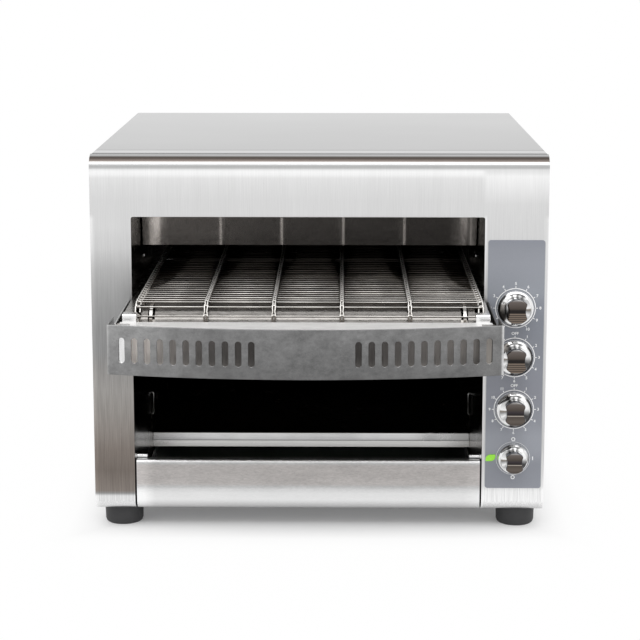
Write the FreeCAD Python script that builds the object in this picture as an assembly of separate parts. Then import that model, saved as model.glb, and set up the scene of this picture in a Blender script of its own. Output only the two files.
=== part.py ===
import FreeCAD, Part
import math
import os

os.makedirs("parts", exist_ok=True)
Vector = FreeCAD.Vector
along_x = Vector(1, 0, 0)
along_y = Vector(0, 1, 0)
along_z = Vector(0, 0, 1)

# Conveyor toaster. Lengths are in millimetres, +Z is up, +X is to the right as the user faces it.
# Every shape is drawn with y = 0 on the front face of the cabinet and y growing to the rear,
# z = 0 on the table. The saved parts are shifted so that the origin is the bottom centre of the whole.

# Cabinet
body_width = 470.0
body_depth = 460.0
foot_height = 21.0
sheet = 1.2
thin_sheet = 1.0
seam_gap = 0.2
curve_gap = 0.6
top_bend = 14.0
bottom_bend = 25.0
fold_bend = 2.0
left_column = 42.0
right_column = 65.0
opening_drop = 63.5
opening_corner = 2.0
cover_setback = 1.8
cover_lip = 12.0
cover_flange = 18.0
bottom_return = 20.0
side_flange = 30.0
edge_flange = 10.0
overrun = 3.0

# Feet
foot_radius = 20.5
foot_step = 2.0
foot_pad = 2.0
pad_sides = 16
front_foot_inset = 35.0
side_foot_inset = 26.4
rear_foot_inset = 35.0

# Ventilation
louvre_count = 6
louvre_length = 64.0
louvre_height = 5.0
louvre_depth = 3.0
louvre_pitch = 16.0
louvre_rear = 60.0
louvre_base = 36.0
exhaust_count = 12
exhaust_length = 22.0
exhaust_width = 5.0
exhaust_pitch = 30.0
exhaust_drop = 52.0
floor_slot_count = 5
floor_slot_length = 36.0
floor_slot_width = 5.0
floor_slot_pitch = 12.0
floor_slot_start = 110.0

# Cooling fan and cable inlet
fan_size = 50.0
fan_wall_gap = 2.0
fan_depth = 20.0
fan_bore = 23.5
fan_height = 96.0
fan_hub = 11.0
fan_tip_gap = 1.2
fan_blade_count = 5
fan_blade_thick = 1.6
fan_blade_angle = 38.0
fan_blade_width = 12.0
fan_blade_share = 0.96
fan_axle = 2.0
fan_web = 2.5
fan_struts = 4
fan_strut_width = 5.0
running_gap = 0.06
side_play = 0.2
grille_slots = 7
grille_pitch = 6.4
grille_width = 3.6
inlet_height = 26.0
inlet_radius = 11.0
bush_bore = 8.0
bush_flange = 14.0
bush_length = 9.0

# Control panel
label_thick = 0.5
label_left_gap = 3.5
label_width = 58.5
label_base = 25.5
label_height = 263.2
label_corner = 3.0
knob_x_inset = 32.5
knob_heights = {"speed": 217.7, "top_heat": 165.7, "bottom_heat": 110.4, "power": 57.9}
knob_radii = {"speed": 19.0, "top_heat": 19.0, "bottom_heat": 19.0, "power": 16.5}
knob_rise = 21.0
knob_skirt_edge = 3.0
knob_collar_edge = 6.4
knob_collar_share = 0.86
knob_shoulder = 8.0
knob_barrel_share = 0.68
knob_waist_share = 0.68
knob_scoop_share = 0.95
knob_gap = 0.5
spindle_hole = 4.0
hidden_sides = 8
spindle_radius = 3.0
spindle_inner = 9.0
control_width = 30.0
control_depths = {"speed": 16.0, "top_heat": 24.0, "bottom_heat": 24.0, "power": 30.0}
terminal_rows = 4
lens_width = 10.0
lens_height = 6.8
lens_round = 5.0
lens_rise = 0.8
lens_depth = 9.0
lens_x_inset = 56.0
lens_fit = 0.2
lens_lift = 0.4

# Toasting chamber
chamber_rise = 93.0
wall_rear_gap = 20.0
wall_foot = 12.0
baffle_y = 100.0
baffle_lean = 14.0
baffle_gap = 1.5
baffle_foot = 13.0
product_gap = 30.5
roof_front = 24.0
roof_hang = 12.0
tube_radius = 5.0
tube_hole = 6.0
upper_tubes = 3
lower_tubes = 2
tube_pitch = 92.0
upper_tube_first = 122.0
upper_tube_rise = 51.0
lower_tube_first = 92.0
lower_tube_drop = 27.0
cap_radius = 8.0
cap_length = 11.0

# Conveyor
wire = 1.8
pitch = 11.1
teeth = 12
belt_rise = 236.0
cover_rise = 139.5
shaft_reach = 65.0
rear_space = 80.0
lanes = 5
belt_left_gap = 14.6
belt_right_gap = 11.9
joint_width = 3.4
joint_share = 1.05
last_joint_share = 0.5
edge_width = 4.0
edge_share = 0.847
edge_reach_left = 2.4
edge_reach_right = 5.1
shaft_radius = 5.0
shaft_sides = 6
sprocket_width = 5.0
roller_width = 3.0
roller_gap = 0.3
sprocket_tip = 2.2
sprocket_notch_gap = 0.45
sprocket_tooth_share = 0.5
outer_sprocket_inset = 13.0
inner_sprocket_offset = 10.0
rail_thick = 2.0
rail_height = 34.0
rail_drop = 11.0
rail_reach = 104.0
rail_rear = 55.0
rail_shoulder = 85.0
rail_corner = 3.0
rail_nose_drop = 6.0
cap_thick = 1.5
cap_left_width = 9.0
cap_right_width = 4.5
bearing_width = 7.5
bearing_narrow = 2.4
bearing_front = 30.0
bearing_back = 12.0
bearing_height = 25.0
bearing_corner = 3.0
end_block_width = 13.5
end_block_depth = 13.0
end_block_drop = 4.5
end_block_corner = 1.2
shaft_opening = 7.0
rod_radius = 3.0
rod_count = 3
rod_first = 22.0
rod_pitch = 147.0
rod_drop = 18.0
bar_thick = 2.5
bar_gap = 0.3
nose_drop = 7.0
nose_rear = 60.0
nose_full = 30.0
nose_side_gap = 2.5
nose_cap_gap = 0.5
nose_notch = 3.5
nose_wrap = 110.0
reflector_drop = 38.5
reflector_front = 42.0
reflector_rear = 130.0
reflector_turn = 12.0

# Burn guard
guard_overhang_left = 12.0
guard_overhang_right = 11.0
guard_reach = 139.0
guard_bow = 22.0
guard_height = 49.5
guard_drop = 12.0
guard_thick = 1.5
guard_return = 37.0
guard_return_lean = 1.5
guard_slot_count = 11
guard_slot_pitch = 12.7
guard_slot_width = 6.0
guard_slot_height = 25.0
guard_slot_inset = 14.5
slot_end_flats = 3
arm_inset = 3.5
arm_height = 44.0
arm_flange = 14.0
arm_fit = 0.1
arm_tab = 26.0
arm_tab_depth = 8.0
shelf_hem = 9.0
shelf_side_gap = 0.3

# Lower part
tray_side_gap = 1.75
tray_height = 55.0
tray_top_bend = 3.0
tray_top_flange = 10.0
tray_flat = 4.0
tray_step = 9.0
tray_depth = 330.0
tray_wall = 12.0
tray_lift = 0.3
pin_radius = 1.85
pin_length = 12.5
pin_y = 9.0
pin_lift = 0.4
chute_y = 188.0
chute_height = 34.0
chute_slope = 0.05
chute_lip = 9.5
chute_side = 20.0
chute_gap = 0.5
chute_rear_gap = 21.0
chute_turn = 45.0
chute_rise = 62.0
support_drop = 15.0
support_foot = 12.0
deflector_lap = 6.0
deflector_lean = 8.0

# Drive
gearbox_offset = 8.0
gearbox_width = 26.0
gearbox_depth = 64.0
gearbox_height = 62.0
gearbox_corner = 6.0
motor_width = 18.0
motor_depth = 48.0
motor_height = 46.0
coil_inset = 2.0
post_radius = 3.0
post_inset = 8.0
shaft_in_gearbox = 20.0

# Places worked out from the sizes above
half = body_width / 2
floor = foot_height
belt_top = floor + belt_rise
top = belt_top + cover_rise
open_left = -half + left_column
open_right = half - right_column
open_top = top - opening_drop
side_out = half - sheet - seam_gap / 2
side_in = side_out - sheet
back_out = body_depth - sheet - seam_gap
back_in = back_out - sheet
pan_low = floor + sheet
pan_top = pan_low + sheet
pan_front = bottom_bend + tray_flat + tray_step + seam_gap
wall_base = pan_top
wall_high = belt_top + chamber_rise
wall_rear = body_depth - wall_rear_gap
pitch_radius = pitch / (2 * math.sin(math.pi / teeth))
shaft_flat = shaft_radius * math.cos(math.pi / shaft_sides)
shaft_z = belt_top - pitch_radius
front_shaft_y = -shaft_reach
run_pitches = int((body_depth - rear_space + shaft_reach) / pitch)
rear_shaft_y = front_shaft_y + run_pitches * pitch
belt_left = open_left + belt_left_gap
belt_right = open_right - belt_right_gap
lane_width = (belt_right - belt_left) / lanes
joints = [belt_left + lane_width * i for i in range(1, lanes)]
rail_top = belt_top - rail_drop
rail_low = rail_top - rail_height
rail_rear_y = body_depth - rail_rear
guard_left = open_left - guard_overhang_left
guard_right = open_right + guard_overhang_right
guard_high = belt_top - guard_drop
guard_low = guard_high - guard_height
guard_end_y = guard_bow - guard_reach
knob_x = half - knob_x_inset
foot_x = half - side_foot_inset
foot_ys = {"front": front_foot_inset, "rear": body_depth - rear_foot_inset}
product_top = belt_top + product_gap
origin_shift = Vector(0, (guard_reach - body_depth) / 2, 0)


def save(name, shape):
    placed = shape.copy()
    placed.translate(origin_shift)
    placed.exportStep("parts/" + name + ".step")


def group(shapes):
    return Part.makeCompound(shapes)


def box(x0, x1, y0, y1, z0, z1):
    return Part.makeBox(x1 - x0, y1 - y0, z1 - z0, Vector(x0, y0, z0))


def rod(radius, start, end):
    return Part.makeCylinder(radius, (end - start).Length, start, end - start)


def lift(plane, u, v, w):
    """A point of a drawing plane: YZ is drawn side on, XZ from the front, XY from above."""
    if plane == "YZ":
        return Vector(w, u, v)
    if plane == "XZ":
        return Vector(u, w, v)
    return Vector(u, v, w)


def prism(points, plane, low, high):
    corners = [lift(plane, u, v, low) for u, v in points]
    face = Part.Face(Part.makePolygon(corners + corners[:1]))
    return face.extrude(lift(plane, 0, 0, high - low))


def folded(points, bends, thickness, plane, low, high):
    """Sheet folded along a line of points, each inner one with its own bend radius.
    The sheet lies on the left of the line where thickness is above zero, on the right below it."""
    flat = [Vector(u, v, 0) for u, v in points]
    near = []
    far = []
    last = flat[0]
    last_far = None
    for i in range(1, len(flat)):
        ahead = (flat[i] - flat[i - 1]).normalize()
        left = Vector(-ahead.y, ahead.x, 0)
        if last_far is None:
            last_far = last + left * thickness
        if i == len(flat) - 1:
            near.append((last, flat[i]))
            far.append((last_far, flat[i] + left * thickness))
            break
        onward = (flat[i + 1] - flat[i]).normalize()
        onward_left = Vector(-onward.y, onward.x, 0)
        turn = math.atan2(ahead.cross(onward).z, ahead.dot(onward))
        side = math.copysign(1, turn)
        radius = bends[i - 1]
        reach = radius * math.tan(abs(turn) / 2)
        begin = flat[i] - ahead * reach
        end = flat[i] + onward * reach
        centre = begin + left * (radius * side)
        middle = centre + (flat[i] - centre).normalize() * radius
        share = (radius - side * thickness) / radius
        near.append((last, begin))
        near.append((begin, middle, end))
        far_begin = begin + left * thickness
        far_end = end + onward_left * thickness
        far.append((last_far, far_begin))
        far.append((far_begin, centre + (middle - centre) * share, far_end))
        last = end
        last_far = far_end
    path = near + [(near[-1][-1], far[-1][-1])]
    path += [piece[::-1] for piece in reversed(far)]
    path += [(far[0][0], near[0][0])]
    edges = []
    for piece in path:
        ends = [lift(plane, p.x, p.y, low) for p in piece]
        edges.append(Part.Arc(*ends).toShape() if len(ends) == 3 else Part.makeLine(*ends))
    return Part.Face(Part.Wire(edges)).extrude(lift(plane, 0, 0, high - low))


def flatted(reach, sides, start, end):
    """Straight bar with flat sides, each at one distance from its axis."""
    ahead = end - start
    across = along_x if abs(ahead.x) < ahead.Length / 2 else along_z
    third = ahead.cross(across).normalize()
    corner = reach / math.cos(math.pi / sides)
    ring = []
    for i in range(sides):
        angle = math.pi * (2 * i + 1) / sides
        ring.append(start + across * (corner * math.cos(angle)) + third * (corner * math.sin(angle)))
    return Part.Face(Part.makePolygon(ring + ring[:1])).extrude(ahead)


def upright_slot(x, z, width, height, y0, y1):
    """Slot standing upright, cut along y, each of its round ends drawn with a few flats."""
    reach = (height - width) / 2
    outline = []
    for way, middle in ((1, z + reach), (-1, z - reach)):
        for i in range(slot_end_flats + 1):
            angle = math.pi * i / slot_end_flats
            outline.append((x + way * width / 2 * math.cos(angle),
                            middle + way * width / 2 * math.sin(angle)))
    return prism(outline, "XZ", y0, y1)


def rounded_block(x0, x1, y0, y1, z0, z1, radius, axis):
    """Block whose four edges along one axis are rounded."""
    block = box(x0, x1, y0, y1, z0, z1)
    chosen = [e for e in block.Edges if abs(e.tangentAt(e.FirstParameter).dot(axis)) > 0.5]
    return block.makeFillet(radius, chosen)


def inside_front(gap):
    """Space behind the front sheet, with its two bends, a gap away from it."""
    margin = sheet + gap
    space = box(-half, half, margin, body_depth, floor + margin, top - margin)
    for middle, bend in ((floor, bottom_bend), (top, top_bend)):
        chosen = [e for e in space.Edges if abs(e.CenterOfMass.z - middle) < bend
                  and e.CenterOfMass.y < bend and abs(e.CenterOfMass.x) < half / 2]
        space = space.makeFillet(bend - margin, chosen[:1])
    return space


def front_panel():
    """Front sheet: rolled over at the top, under at the bottom, with the opening down to the bottom edge."""
    lip_y = top_bend + cover_setback
    lip_drop = sheet + seam_gap
    line = [(lip_y + cover_lip, top - lip_drop), (lip_y + sheet, top - lip_drop), (lip_y - sheet, top)]
    line += [(0, top), (0, floor), (bottom_bend + bottom_return, floor)]
    bends = [fold_bend, fold_bend, top_bend, bottom_bend]
    panel = folded(line, bends, sheet, "YZ", -half, half)
    opening = box(open_left, open_right, -overrun, bottom_bend + bottom_return + overrun,
                  floor - overrun, open_top)
    upper = [e for e in opening.Edges if abs(e.tangentAt(e.FirstParameter).dot(along_y)) > 0.5
             and e.CenterOfMass.z > (floor + open_top) / 2]
    cuts = [opening.makeFillet(opening_corner, upper)]
    for name in knob_heights:
        z = floor + knob_heights[name]
        cuts.append(flatted(spindle_hole, hidden_sides, Vector(knob_x, -overrun, z),
                            Vector(knob_x, sheet + overrun, z)))
    cuts.append(lens_shape(lens_fit, -overrun, sheet + overrun))
    for side in (-1, 1):
        ends = sorted((side * (side_in - seam_gap), side * (half + overrun)))
        cuts.append(box(ends[0], ends[1], lip_y - sheet, lip_y + cover_lip + overrun,
                        top - top_bend, top + overrun))
    for x in (open_left - arm_inset - guard_thick / 2, open_right + arm_inset + guard_thick / 2):
        wide = guard_thick / 2 + arm_fit
        mid = arm_middle()
        cuts.append(box(x - wide, x + wide, -overrun, sheet + overrun,
                        mid - arm_tab / 2 - arm_fit, mid + arm_tab / 2 + arm_fit))
    return panel.cut(cuts)


def arm_middle():
    return guard_high - arm_height / 2


def top_cover():
    """Lid with a folded-down edge at both sides and at the rear."""
    line = [(-half, top - cover_flange), (-half, top), (half, top), (half, top - cover_flange)]
    front_y = top_bend + cover_setback + sheet + seam_gap
    lid = folded(line, [fold_bend, fold_bend], -sheet, "XZ", front_y, body_depth)
    rear = folded([(body_depth - cover_flange, top), (body_depth, top), (body_depth, top - cover_flange)],
                  [fold_bend], -sheet, "YZ", -half + fold_bend, half - fold_bend)
    corner = box(-half - overrun, half + overrun, body_depth - fold_bend, body_depth + overrun,
                 top - fold_bend, top + overrun)
    return lid.cut(corner).fuse(rear).removeSplitter()


def louvre(side, index):
    """Pressed louvre: the opening to cut and the hood to add, on the left (-1) or right (1) panel."""
    y1 = body_depth - louvre_rear
    y0 = y1 - louvre_length
    z = floor + louvre_base + index * louvre_pitch
    faces = sorted((side * side_out, side * side_in))
    cut = box(faces[0] - seam_gap, faces[1] + seam_gap, y0 + sheet, y1 - sheet, z, z + louvre_height - sheet)
    reach = side * (side_out + louvre_depth)
    base = side * side_out
    skin = [(base, z + louvre_height + sheet), (reach, z + sheet), (reach, z)]
    skin += [(reach - side * sheet, z), (reach - side * sheet, z + sheet / 2)]
    skin.append((base, z + louvre_height - sheet))
    return cut, prism(skin, "XZ", y0, y1)


def side_panel(side):
    """Side sheet with flanges folded inwards at the bottom and the rear, and pressed louvres."""
    outer = side * side_out
    rear_y = back_in - seam_gap
    web = box(min(outer, side * side_in), max(outer, side * side_in), 0, rear_y, floor, top)
    web = web.common(inside_front(curve_gap))
    fold_y = bottom_bend + bottom_return + seam_gap
    foot_line = [(outer, floor + side_flange), (outer, floor), (outer - side * side_flange, floor)]
    rear_line = [(outer, rear_y - edge_flange), (outer, rear_y), (outer - side * edge_flange, rear_y)]
    low_z = floor + bottom_bend + sheet
    high_z = top - top_bend - cover_flange
    panel = web.fuse([folded(foot_line, [fold_bend], side * -sheet, "XZ", fold_y, rear_y),
                      folded(rear_line, [fold_bend], side * sheet, "XY", low_z, high_z)])
    cuts = []
    hoods = []
    for index in range(louvre_count):
        cut, hood = louvre(side, index)
        cuts.append(cut)
        hoods.append(hood)
    return panel.cut(cuts).fuse(hoods).removeSplitter()


def fan_centre():
    return Vector(open_right + sheet + fan_wall_gap + fan_size / 2, back_in, floor + fan_height)


def back_panel():
    """Rear sheet with an exhaust row, the fan grille and the cable inlet."""
    panel = box(-side_in, side_in, back_in, back_out, pan_low + sheet, top - sheet - seam_gap * 2)
    cuts = []
    for i in range(exhaust_count):
        x = (i - (exhaust_count - 1) / 2) * exhaust_pitch
        z = top - exhaust_drop
        cuts.append(box(x - exhaust_length / 2, x + exhaust_length / 2, back_in - overrun, back_out + overrun,
                        z, z + exhaust_width))
    centre = fan_centre()
    for i in range(grille_slots):
        offset = (i - (grille_slots - 1) / 2) * grille_pitch
        reach = math.sqrt((fan_bore - fan_tip_gap) ** 2 - offset ** 2)
        cuts.append(box(centre.x - reach, centre.x + reach, back_in - overrun, back_out + overrun,
                        centre.z + offset - grille_width / 2, centre.z + offset + grille_width / 2))
    z = floor + inlet_height
    cuts.append(rod(inlet_radius, Vector(centre.x, back_in - overrun, z),
                    Vector(centre.x, back_out + overrun, z)))
    return panel.cut(cuts)


def inlet_bush():
    """Lined hole where a supply cable would enter."""
    x = fan_centre().x
    z = floor + inlet_height
    skin = back_out + sheet
    body = rod(inlet_radius - running_gap, Vector(x, back_in + sheet - bush_length, z),
               Vector(x, back_out, z))
    body = body.fuse(flatted(bush_flange, hidden_sides, Vector(x, back_out, z), Vector(x, skin, z)))
    bore = rod(bush_bore, Vector(x, back_in - bush_length - overrun, z), Vector(x, skin + overrun, z))
    return body.cut(bore).removeSplitter()


def base_pan():
    """Floor sheet on the bottom flanges, turned up at both sides, slotted below the controls."""
    edge = side_in - seam_gap
    line = [(-edge, pan_low + edge_flange), (-edge, pan_low), (edge, pan_low), (edge, pan_low + edge_flange)]
    rear_y = back_in - seam_gap * 2 - sheet
    pan = folded(line, [fold_bend, fold_bend], sheet, "XZ", pan_front, rear_y)
    cuts = []
    for i in range(floor_slot_count):
        y = floor_slot_start + i * floor_slot_pitch
        cuts.append(box(knob_x - floor_slot_length / 2, knob_x + floor_slot_length / 2,
                        y, y + floor_slot_width, pan_low - overrun, pan_top + overrun))
    return pan.cut(cuts)


def foot(x, y):
    """Rubber foot on a narrower pad with flat sides."""
    pad = flatted(foot_radius - foot_step, pad_sides, Vector(x, y, 0), Vector(x, y, foot_pad))
    return pad.fuse(rod(foot_radius, Vector(x, y, foot_pad), Vector(x, y, foot_height)))


def lens_shape(fit, y0, y1):
    """Indicator outline: an oblong with two opposite corners well rounded, grown by fit."""
    x = half - lens_x_inset
    z = floor + knob_heights["power"] + lens_lift
    wide = lens_width / 2 + fit
    high = lens_height / 2 + fit
    block = box(x - wide, x + wide, y0, y1, z - high, z + high)
    chosen = []
    for edge in block.Edges:
        place = edge.CenterOfMass
        if abs(edge.tangentAt(edge.FirstParameter).y) > 0.5 and (place.x - x) * (place.z - z) < 0:
            chosen.append(edge)
    return block.makeFillet(lens_round, chosen)


def control_label():
    x0 = open_right + label_left_gap
    z0 = floor + label_base
    plate = rounded_block(x0, x0 + label_width, -label_thick, 0, z0, z0 + label_height, label_corner, along_y)
    cuts = [lens_shape(lens_fit, -overrun, overrun)]
    for rise in knob_heights.values():
        cuts.append(flatted(spindle_hole, hidden_sides, Vector(knob_x, -overrun, floor + rise),
                            Vector(knob_x, overrun, floor + rise)))
    arm_x = open_right + arm_inset
    cuts.append(box(arm_x - arm_fit, arm_x + guard_thick + arm_fit, -overrun, overrun,
                    guard_high - arm_height - arm_fit, guard_high + arm_fit))
    return plate.cut(cuts)


def knob(name):
    """Knob with a stepped skirt and a waisted grip, and the spindle that it turns."""
    radius = knob_radii[name]
    barrel = radius * knob_barrel_share
    skirt = rod(radius, Vector(0, 0, 0), along_z * knob_skirt_edge)
    collar = rod(radius * knob_collar_share, along_z * knob_skirt_edge, along_z * knob_collar_edge)
    body = skirt.fuse([collar, rod(barrel, along_z * knob_collar_edge, along_z * knob_rise)])
    scoop = radius * knob_scoop_share
    offset = scoop + barrel * knob_waist_share
    cuts = []
    for side in (-1, 1):
        middle = Vector(side * offset, 0, knob_shoulder)
        cuts.append(rod(scoop, middle, middle + along_z * knob_rise))
    spindle = rod(spindle_radius, Vector(0, 0, -label_thick - knob_gap - spindle_inner), Vector(0, 0, 0))
    both = group([body.cut(cuts), spindle])
    both.rotate(Vector(0, 0, 0), along_x, 90)
    both.translate(Vector(knob_x, -label_thick - knob_gap, floor + knob_heights[name]))
    return both


def control(name):
    """Control on the rear of the panel, with a bore for its spindle."""
    z = floor + knob_heights[name]
    reach = control_width / 2
    back = sheet + control_depths[name]
    if name == "speed":
        body = rod(reach, Vector(knob_x, sheet, z), Vector(knob_x, back, z))
    else:
        body = box(knob_x - reach, knob_x + reach, sheet, back, z - reach, z + reach)
    bore = flatted(spindle_radius + running_gap, hidden_sides, Vector(knob_x, 0, z),
                   Vector(knob_x, spindle_inner + running_gap, z))
    return body.cut(bore)


def terminal_block():
    """Moulded block with barriers between its poles, standing on the pan by the cable inlet."""
    x = fan_centre().x
    width = control_width
    pole = width / terminal_rows
    y0 = body_depth / 2
    low = box(x - width / 2, x + width / 2, y0, y0 + pole * 2, pan_top, pan_top + pole)
    ribs = []
    for i in range(terminal_rows + 1):
        rib_x = x - width / 2 + i * (width - thin_sheet) / terminal_rows
        ribs.append(box(rib_x, rib_x + thin_sheet, y0, y0 + pole * 2, pan_top + pole, pan_top + pole * 2))
    return low.fuse(ribs).removeSplitter()


def tube_places(upper):
    """The y and z of each quartz tube above or below the belt."""
    if upper:
        return [(upper_tube_first + i * tube_pitch, belt_top + upper_tube_rise) for i in range(upper_tubes)]
    return [(lower_tube_first + i * tube_pitch, belt_top - lower_tube_drop) for i in range(lower_tubes)]


def tube_holes(places):
    """Square openings for the tubes, cut along x."""
    return [box(-half, half, y - tube_hole, y + tube_hole, z - tube_hole, z + tube_hole) for y, z in places]


def chamber_wall(side):
    """Inner wall level with one edge of the opening, with feet folded away from the chamber."""
    inner = open_left if side < 0 else open_right
    outer = inner + side * wall_foot
    line = [(outer, wall_base), (inner, wall_base), (inner, wall_high), (outer, wall_high)]
    wall = folded(line, [fold_bend, fold_bend], side * -sheet, "XZ", 0, wall_rear)
    cuts = tube_holes(tube_places(True) + tube_places(False))
    if side > 0:
        cuts.append(flatted(shaft_opening, hidden_sides, Vector(0, rear_shaft_y, shaft_z),
                            Vector(half, rear_shaft_y, shaft_z)))
    cuts.append(box(min(inner, outer) - overrun, max(inner, outer) + overrun, 0, pan_front, 0,
                    pan_top + fold_bend + seam_gap))
    return wall.common(inside_front(curve_gap)).cut(cuts)


def chamber_roof():
    """Upper reflector lying on the flanges of both walls, turned down at the front."""
    x0 = open_left - wall_foot
    x1 = open_right + wall_foot
    line = [(wall_rear, wall_high), (roof_front, wall_high), (roof_front, wall_high - roof_hang)]
    roof = folded(line[:2], [], -sheet, "YZ", x0, x1)
    hang = folded([(roof_front + roof_hang, wall_high + sheet), (roof_front, wall_high + sheet), line[2]],
                  [fold_bend], sheet, "YZ", open_left + baffle_gap, open_right - baffle_gap)
    return roof.fuse(hang).removeSplitter()


def air_baffle():
    """Leaning plate that closes the top of the opening above the belt."""
    top_y = baffle_y - baffle_lean
    line = [(baffle_y, product_top), (top_y, wall_high), (top_y + baffle_foot, wall_high)]
    return folded(line, [fold_bend], -thin_sheet, "YZ", open_left + baffle_gap, open_right - baffle_gap)


def heater_tubes(upper):
    x0 = open_left - sheet
    x1 = open_right + sheet
    return group([rod(tube_radius, Vector(x0, y, z), Vector(x1, y, z)) for y, z in tube_places(upper)])


def heater_caps():
    """Ceramic holders outside the chamber walls, one on each end of each tube."""
    caps = []
    for y, z in tube_places(True) + tube_places(False):
        for wall, side in ((open_left - sheet, -1), (open_right + sheet, 1)):
            caps.append(flatted(cap_radius, hidden_sides, Vector(wall, y, z),
                                Vector(wall + side * cap_length, y, z)))
    return group(caps)


def wire_places():
    """Centres of the belt wires once round, from above the front shaft to the rear, each with its run."""
    places = []
    for i in range(run_pitches + 1):
        places.append(("top_run", front_shaft_y + i * pitch, belt_top))
    for i in range(1, teeth // 2):
        angle = math.pi / 2 - 2 * math.pi * i / teeth
        places.append(("rear_turn", rear_shaft_y + pitch_radius * math.cos(angle),
                       shaft_z + pitch_radius * math.sin(angle)))
    for i in range(run_pitches + 1):
        places.append(("bottom_run", rear_shaft_y - i * pitch, shaft_z - pitch_radius))
    for i in range(1, teeth // 2):
        angle = -math.pi / 2 - 2 * math.pi * i / teeth
        places.append(("front_turn", front_shaft_y + pitch_radius * math.cos(angle),
                       shaft_z + pitch_radius * math.sin(angle)))
    return places


def strand_line(reach_share):
    """One wire seen from above: bent back to the next wire at both edges, and past it at each joint."""
    left = belt_left - edge_reach_left
    right = belt_right + edge_reach_right
    line = [(left + edge_width, pitch * edge_share), (left, 0)]
    if reach_share > 0:
        for x in joints:
            line += [(x - joint_width, 0), (x, pitch * reach_share), (x + joint_width, 0)]
    line += [(right, 0), (right - edge_width, pitch * edge_share)]
    return line


def thicken(line, width):
    """Closed outline of a bent wire, mitred at its corners."""
    points = [Vector(u, v, 0) for u, v in line]
    sides = ([], [])
    for i, point in enumerate(points):
        before = (point - points[i - 1]).normalize() if i else None
        after = (points[i + 1] - point).normalize() if i < len(points) - 1 else None
        ahead = before or after
        onward = after or before
        across = Vector(-(ahead.y + onward.y), ahead.x + onward.x, 0).normalize()
        stretch = width / 2 / (across.dot(Vector(-ahead.y, ahead.x, 0)))
        sides[0].append(point + across * stretch)
        sides[1].append(point - across * stretch)
    return sides[0] + sides[1][::-1]


def belt(run):
    """The wires of one run of the belt. Those of the rear turn and the lower run are drawn without joints."""
    jointed = thicken(strand_line(joint_share), wire)
    last = thicken(strand_line(last_joint_share), wire)
    plain = thicken(strand_line(0), wire)
    places = wire_places()
    seen = [name in ("top_run", "front_turn") for name, y, z in places]
    strands = []
    for i, (name, y, z) in enumerate(places):
        if name != run:
            continue
        onward = places[(i + 1) % len(places)]
        ahead = Vector(0, onward[1] - y, onward[2] - z).normalize()
        normal = along_x.cross(ahead)
        start = Vector(0, y, z) - normal * (wire / 2)
        ahead_seen = seen[(i + 1) % len(places)]
        outline = plain
        if seen[i] and ahead_seen:
            outline = jointed if seen[(i + 2) % len(places)] else last
        corners = [start + along_x * p.x + ahead * p.y for p in outline]
        strands.append(Part.Face(Part.makePolygon(corners + corners[:1])).extrude(normal * wire))
    return group(strands)


def sprocket_xs():
    outer = (belt_left + outer_sprocket_inset, belt_right - outer_sprocket_inset)
    middle = len(joints) // 2
    inner = (joints[middle - 1] + inner_sprocket_offset, joints[middle] - inner_sprocket_offset)
    return [outer[0], inner[0], inner[1], outer[1]]


def roller_xs():
    return [sprocket_xs()[0], sprocket_xs()[-1]]


def sprockets(y):
    """Toothed wheels whose notches take the belt wires, with bores that fit the flats of their shaft."""
    root = pitch_radius - wire / 2 * math.sqrt(2) - sprocket_notch_gap
    tip = pitch_radius + sprocket_tip
    step = 2 * math.pi / teeth
    root_turn = step * (1 - sprocket_tooth_share) / 4
    tip_turn = step * sprocket_tooth_share / 2
    outline = []
    for i in range(teeth):
        centre = math.pi / 2 + i * step
        for radius, angle in ((root, centre - root_turn), (root, centre + root_turn),
                              (tip, centre + step / 2 - tip_turn / 2),
                              (tip, centre + step / 2 + tip_turn / 2)):
            outline.append((y + radius * math.cos(angle), shaft_z + radius * math.sin(angle)))
    bore = flatted(shaft_flat, shaft_sides, Vector(-half, y, shaft_z), Vector(half, y, shaft_z))
    return group([prism(outline, "YZ", x - sprocket_width / 2, x + sprocket_width / 2).cut(bore)
                  for x in sprocket_xs()])


def rollers(y):
    """Plain rollers under the edges of the belt's front turn, bored for the flats of their shaft."""
    radius = pitch_radius - wire / 2 * math.sqrt(2) - roller_gap
    bore = flatted(shaft_flat, shaft_sides, Vector(-half, y, shaft_z), Vector(half, y, shaft_z))
    reach = roller_width / 2
    wheels = []
    for x in roller_xs():
        wheel = rod(radius, Vector(x - reach, y, shaft_z), Vector(x + reach, y, shaft_z))
        wheels.append(wheel.cut(bore))
    return group(wheels)


def rail(side):
    """Side plate of the conveyor, on the chamber wall and out to the guard, lower at its front end."""
    wall = open_left if side < 0 else open_right
    x0 = min(wall, wall - side * rail_thick)
    step = rail_top - rail_nose_drop
    outline = [(-rail_reach, rail_low), (rail_rear_y, rail_low), (rail_rear_y, rail_top),
               (rail_corner - rail_shoulder, rail_top), (-rail_shoulder, rail_top - rail_corner),
               (-rail_shoulder, step), (-rail_reach, step)]
    plate = prism(outline, "YZ", x0, x0 + rail_thick)
    cuts = tube_holes(tube_places(False))
    if side > 0:
        cuts.append(flatted(shaft_opening, hidden_sides, Vector(0, rear_shaft_y, shaft_z),
                            Vector(half, rear_shaft_y, shaft_z)))
    return plate.cut(cuts)


def rail_caps():
    """Flat strips on the tops of the two rails."""
    y0 = rail_corner - rail_shoulder
    high = rail_top + cap_thick
    return group([box(open_left, open_left + cap_left_width, y0, rail_rear_y, rail_top, high),
                  box(open_right - cap_right_width, open_right, y0, rail_rear_y, rail_top, high)])


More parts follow.
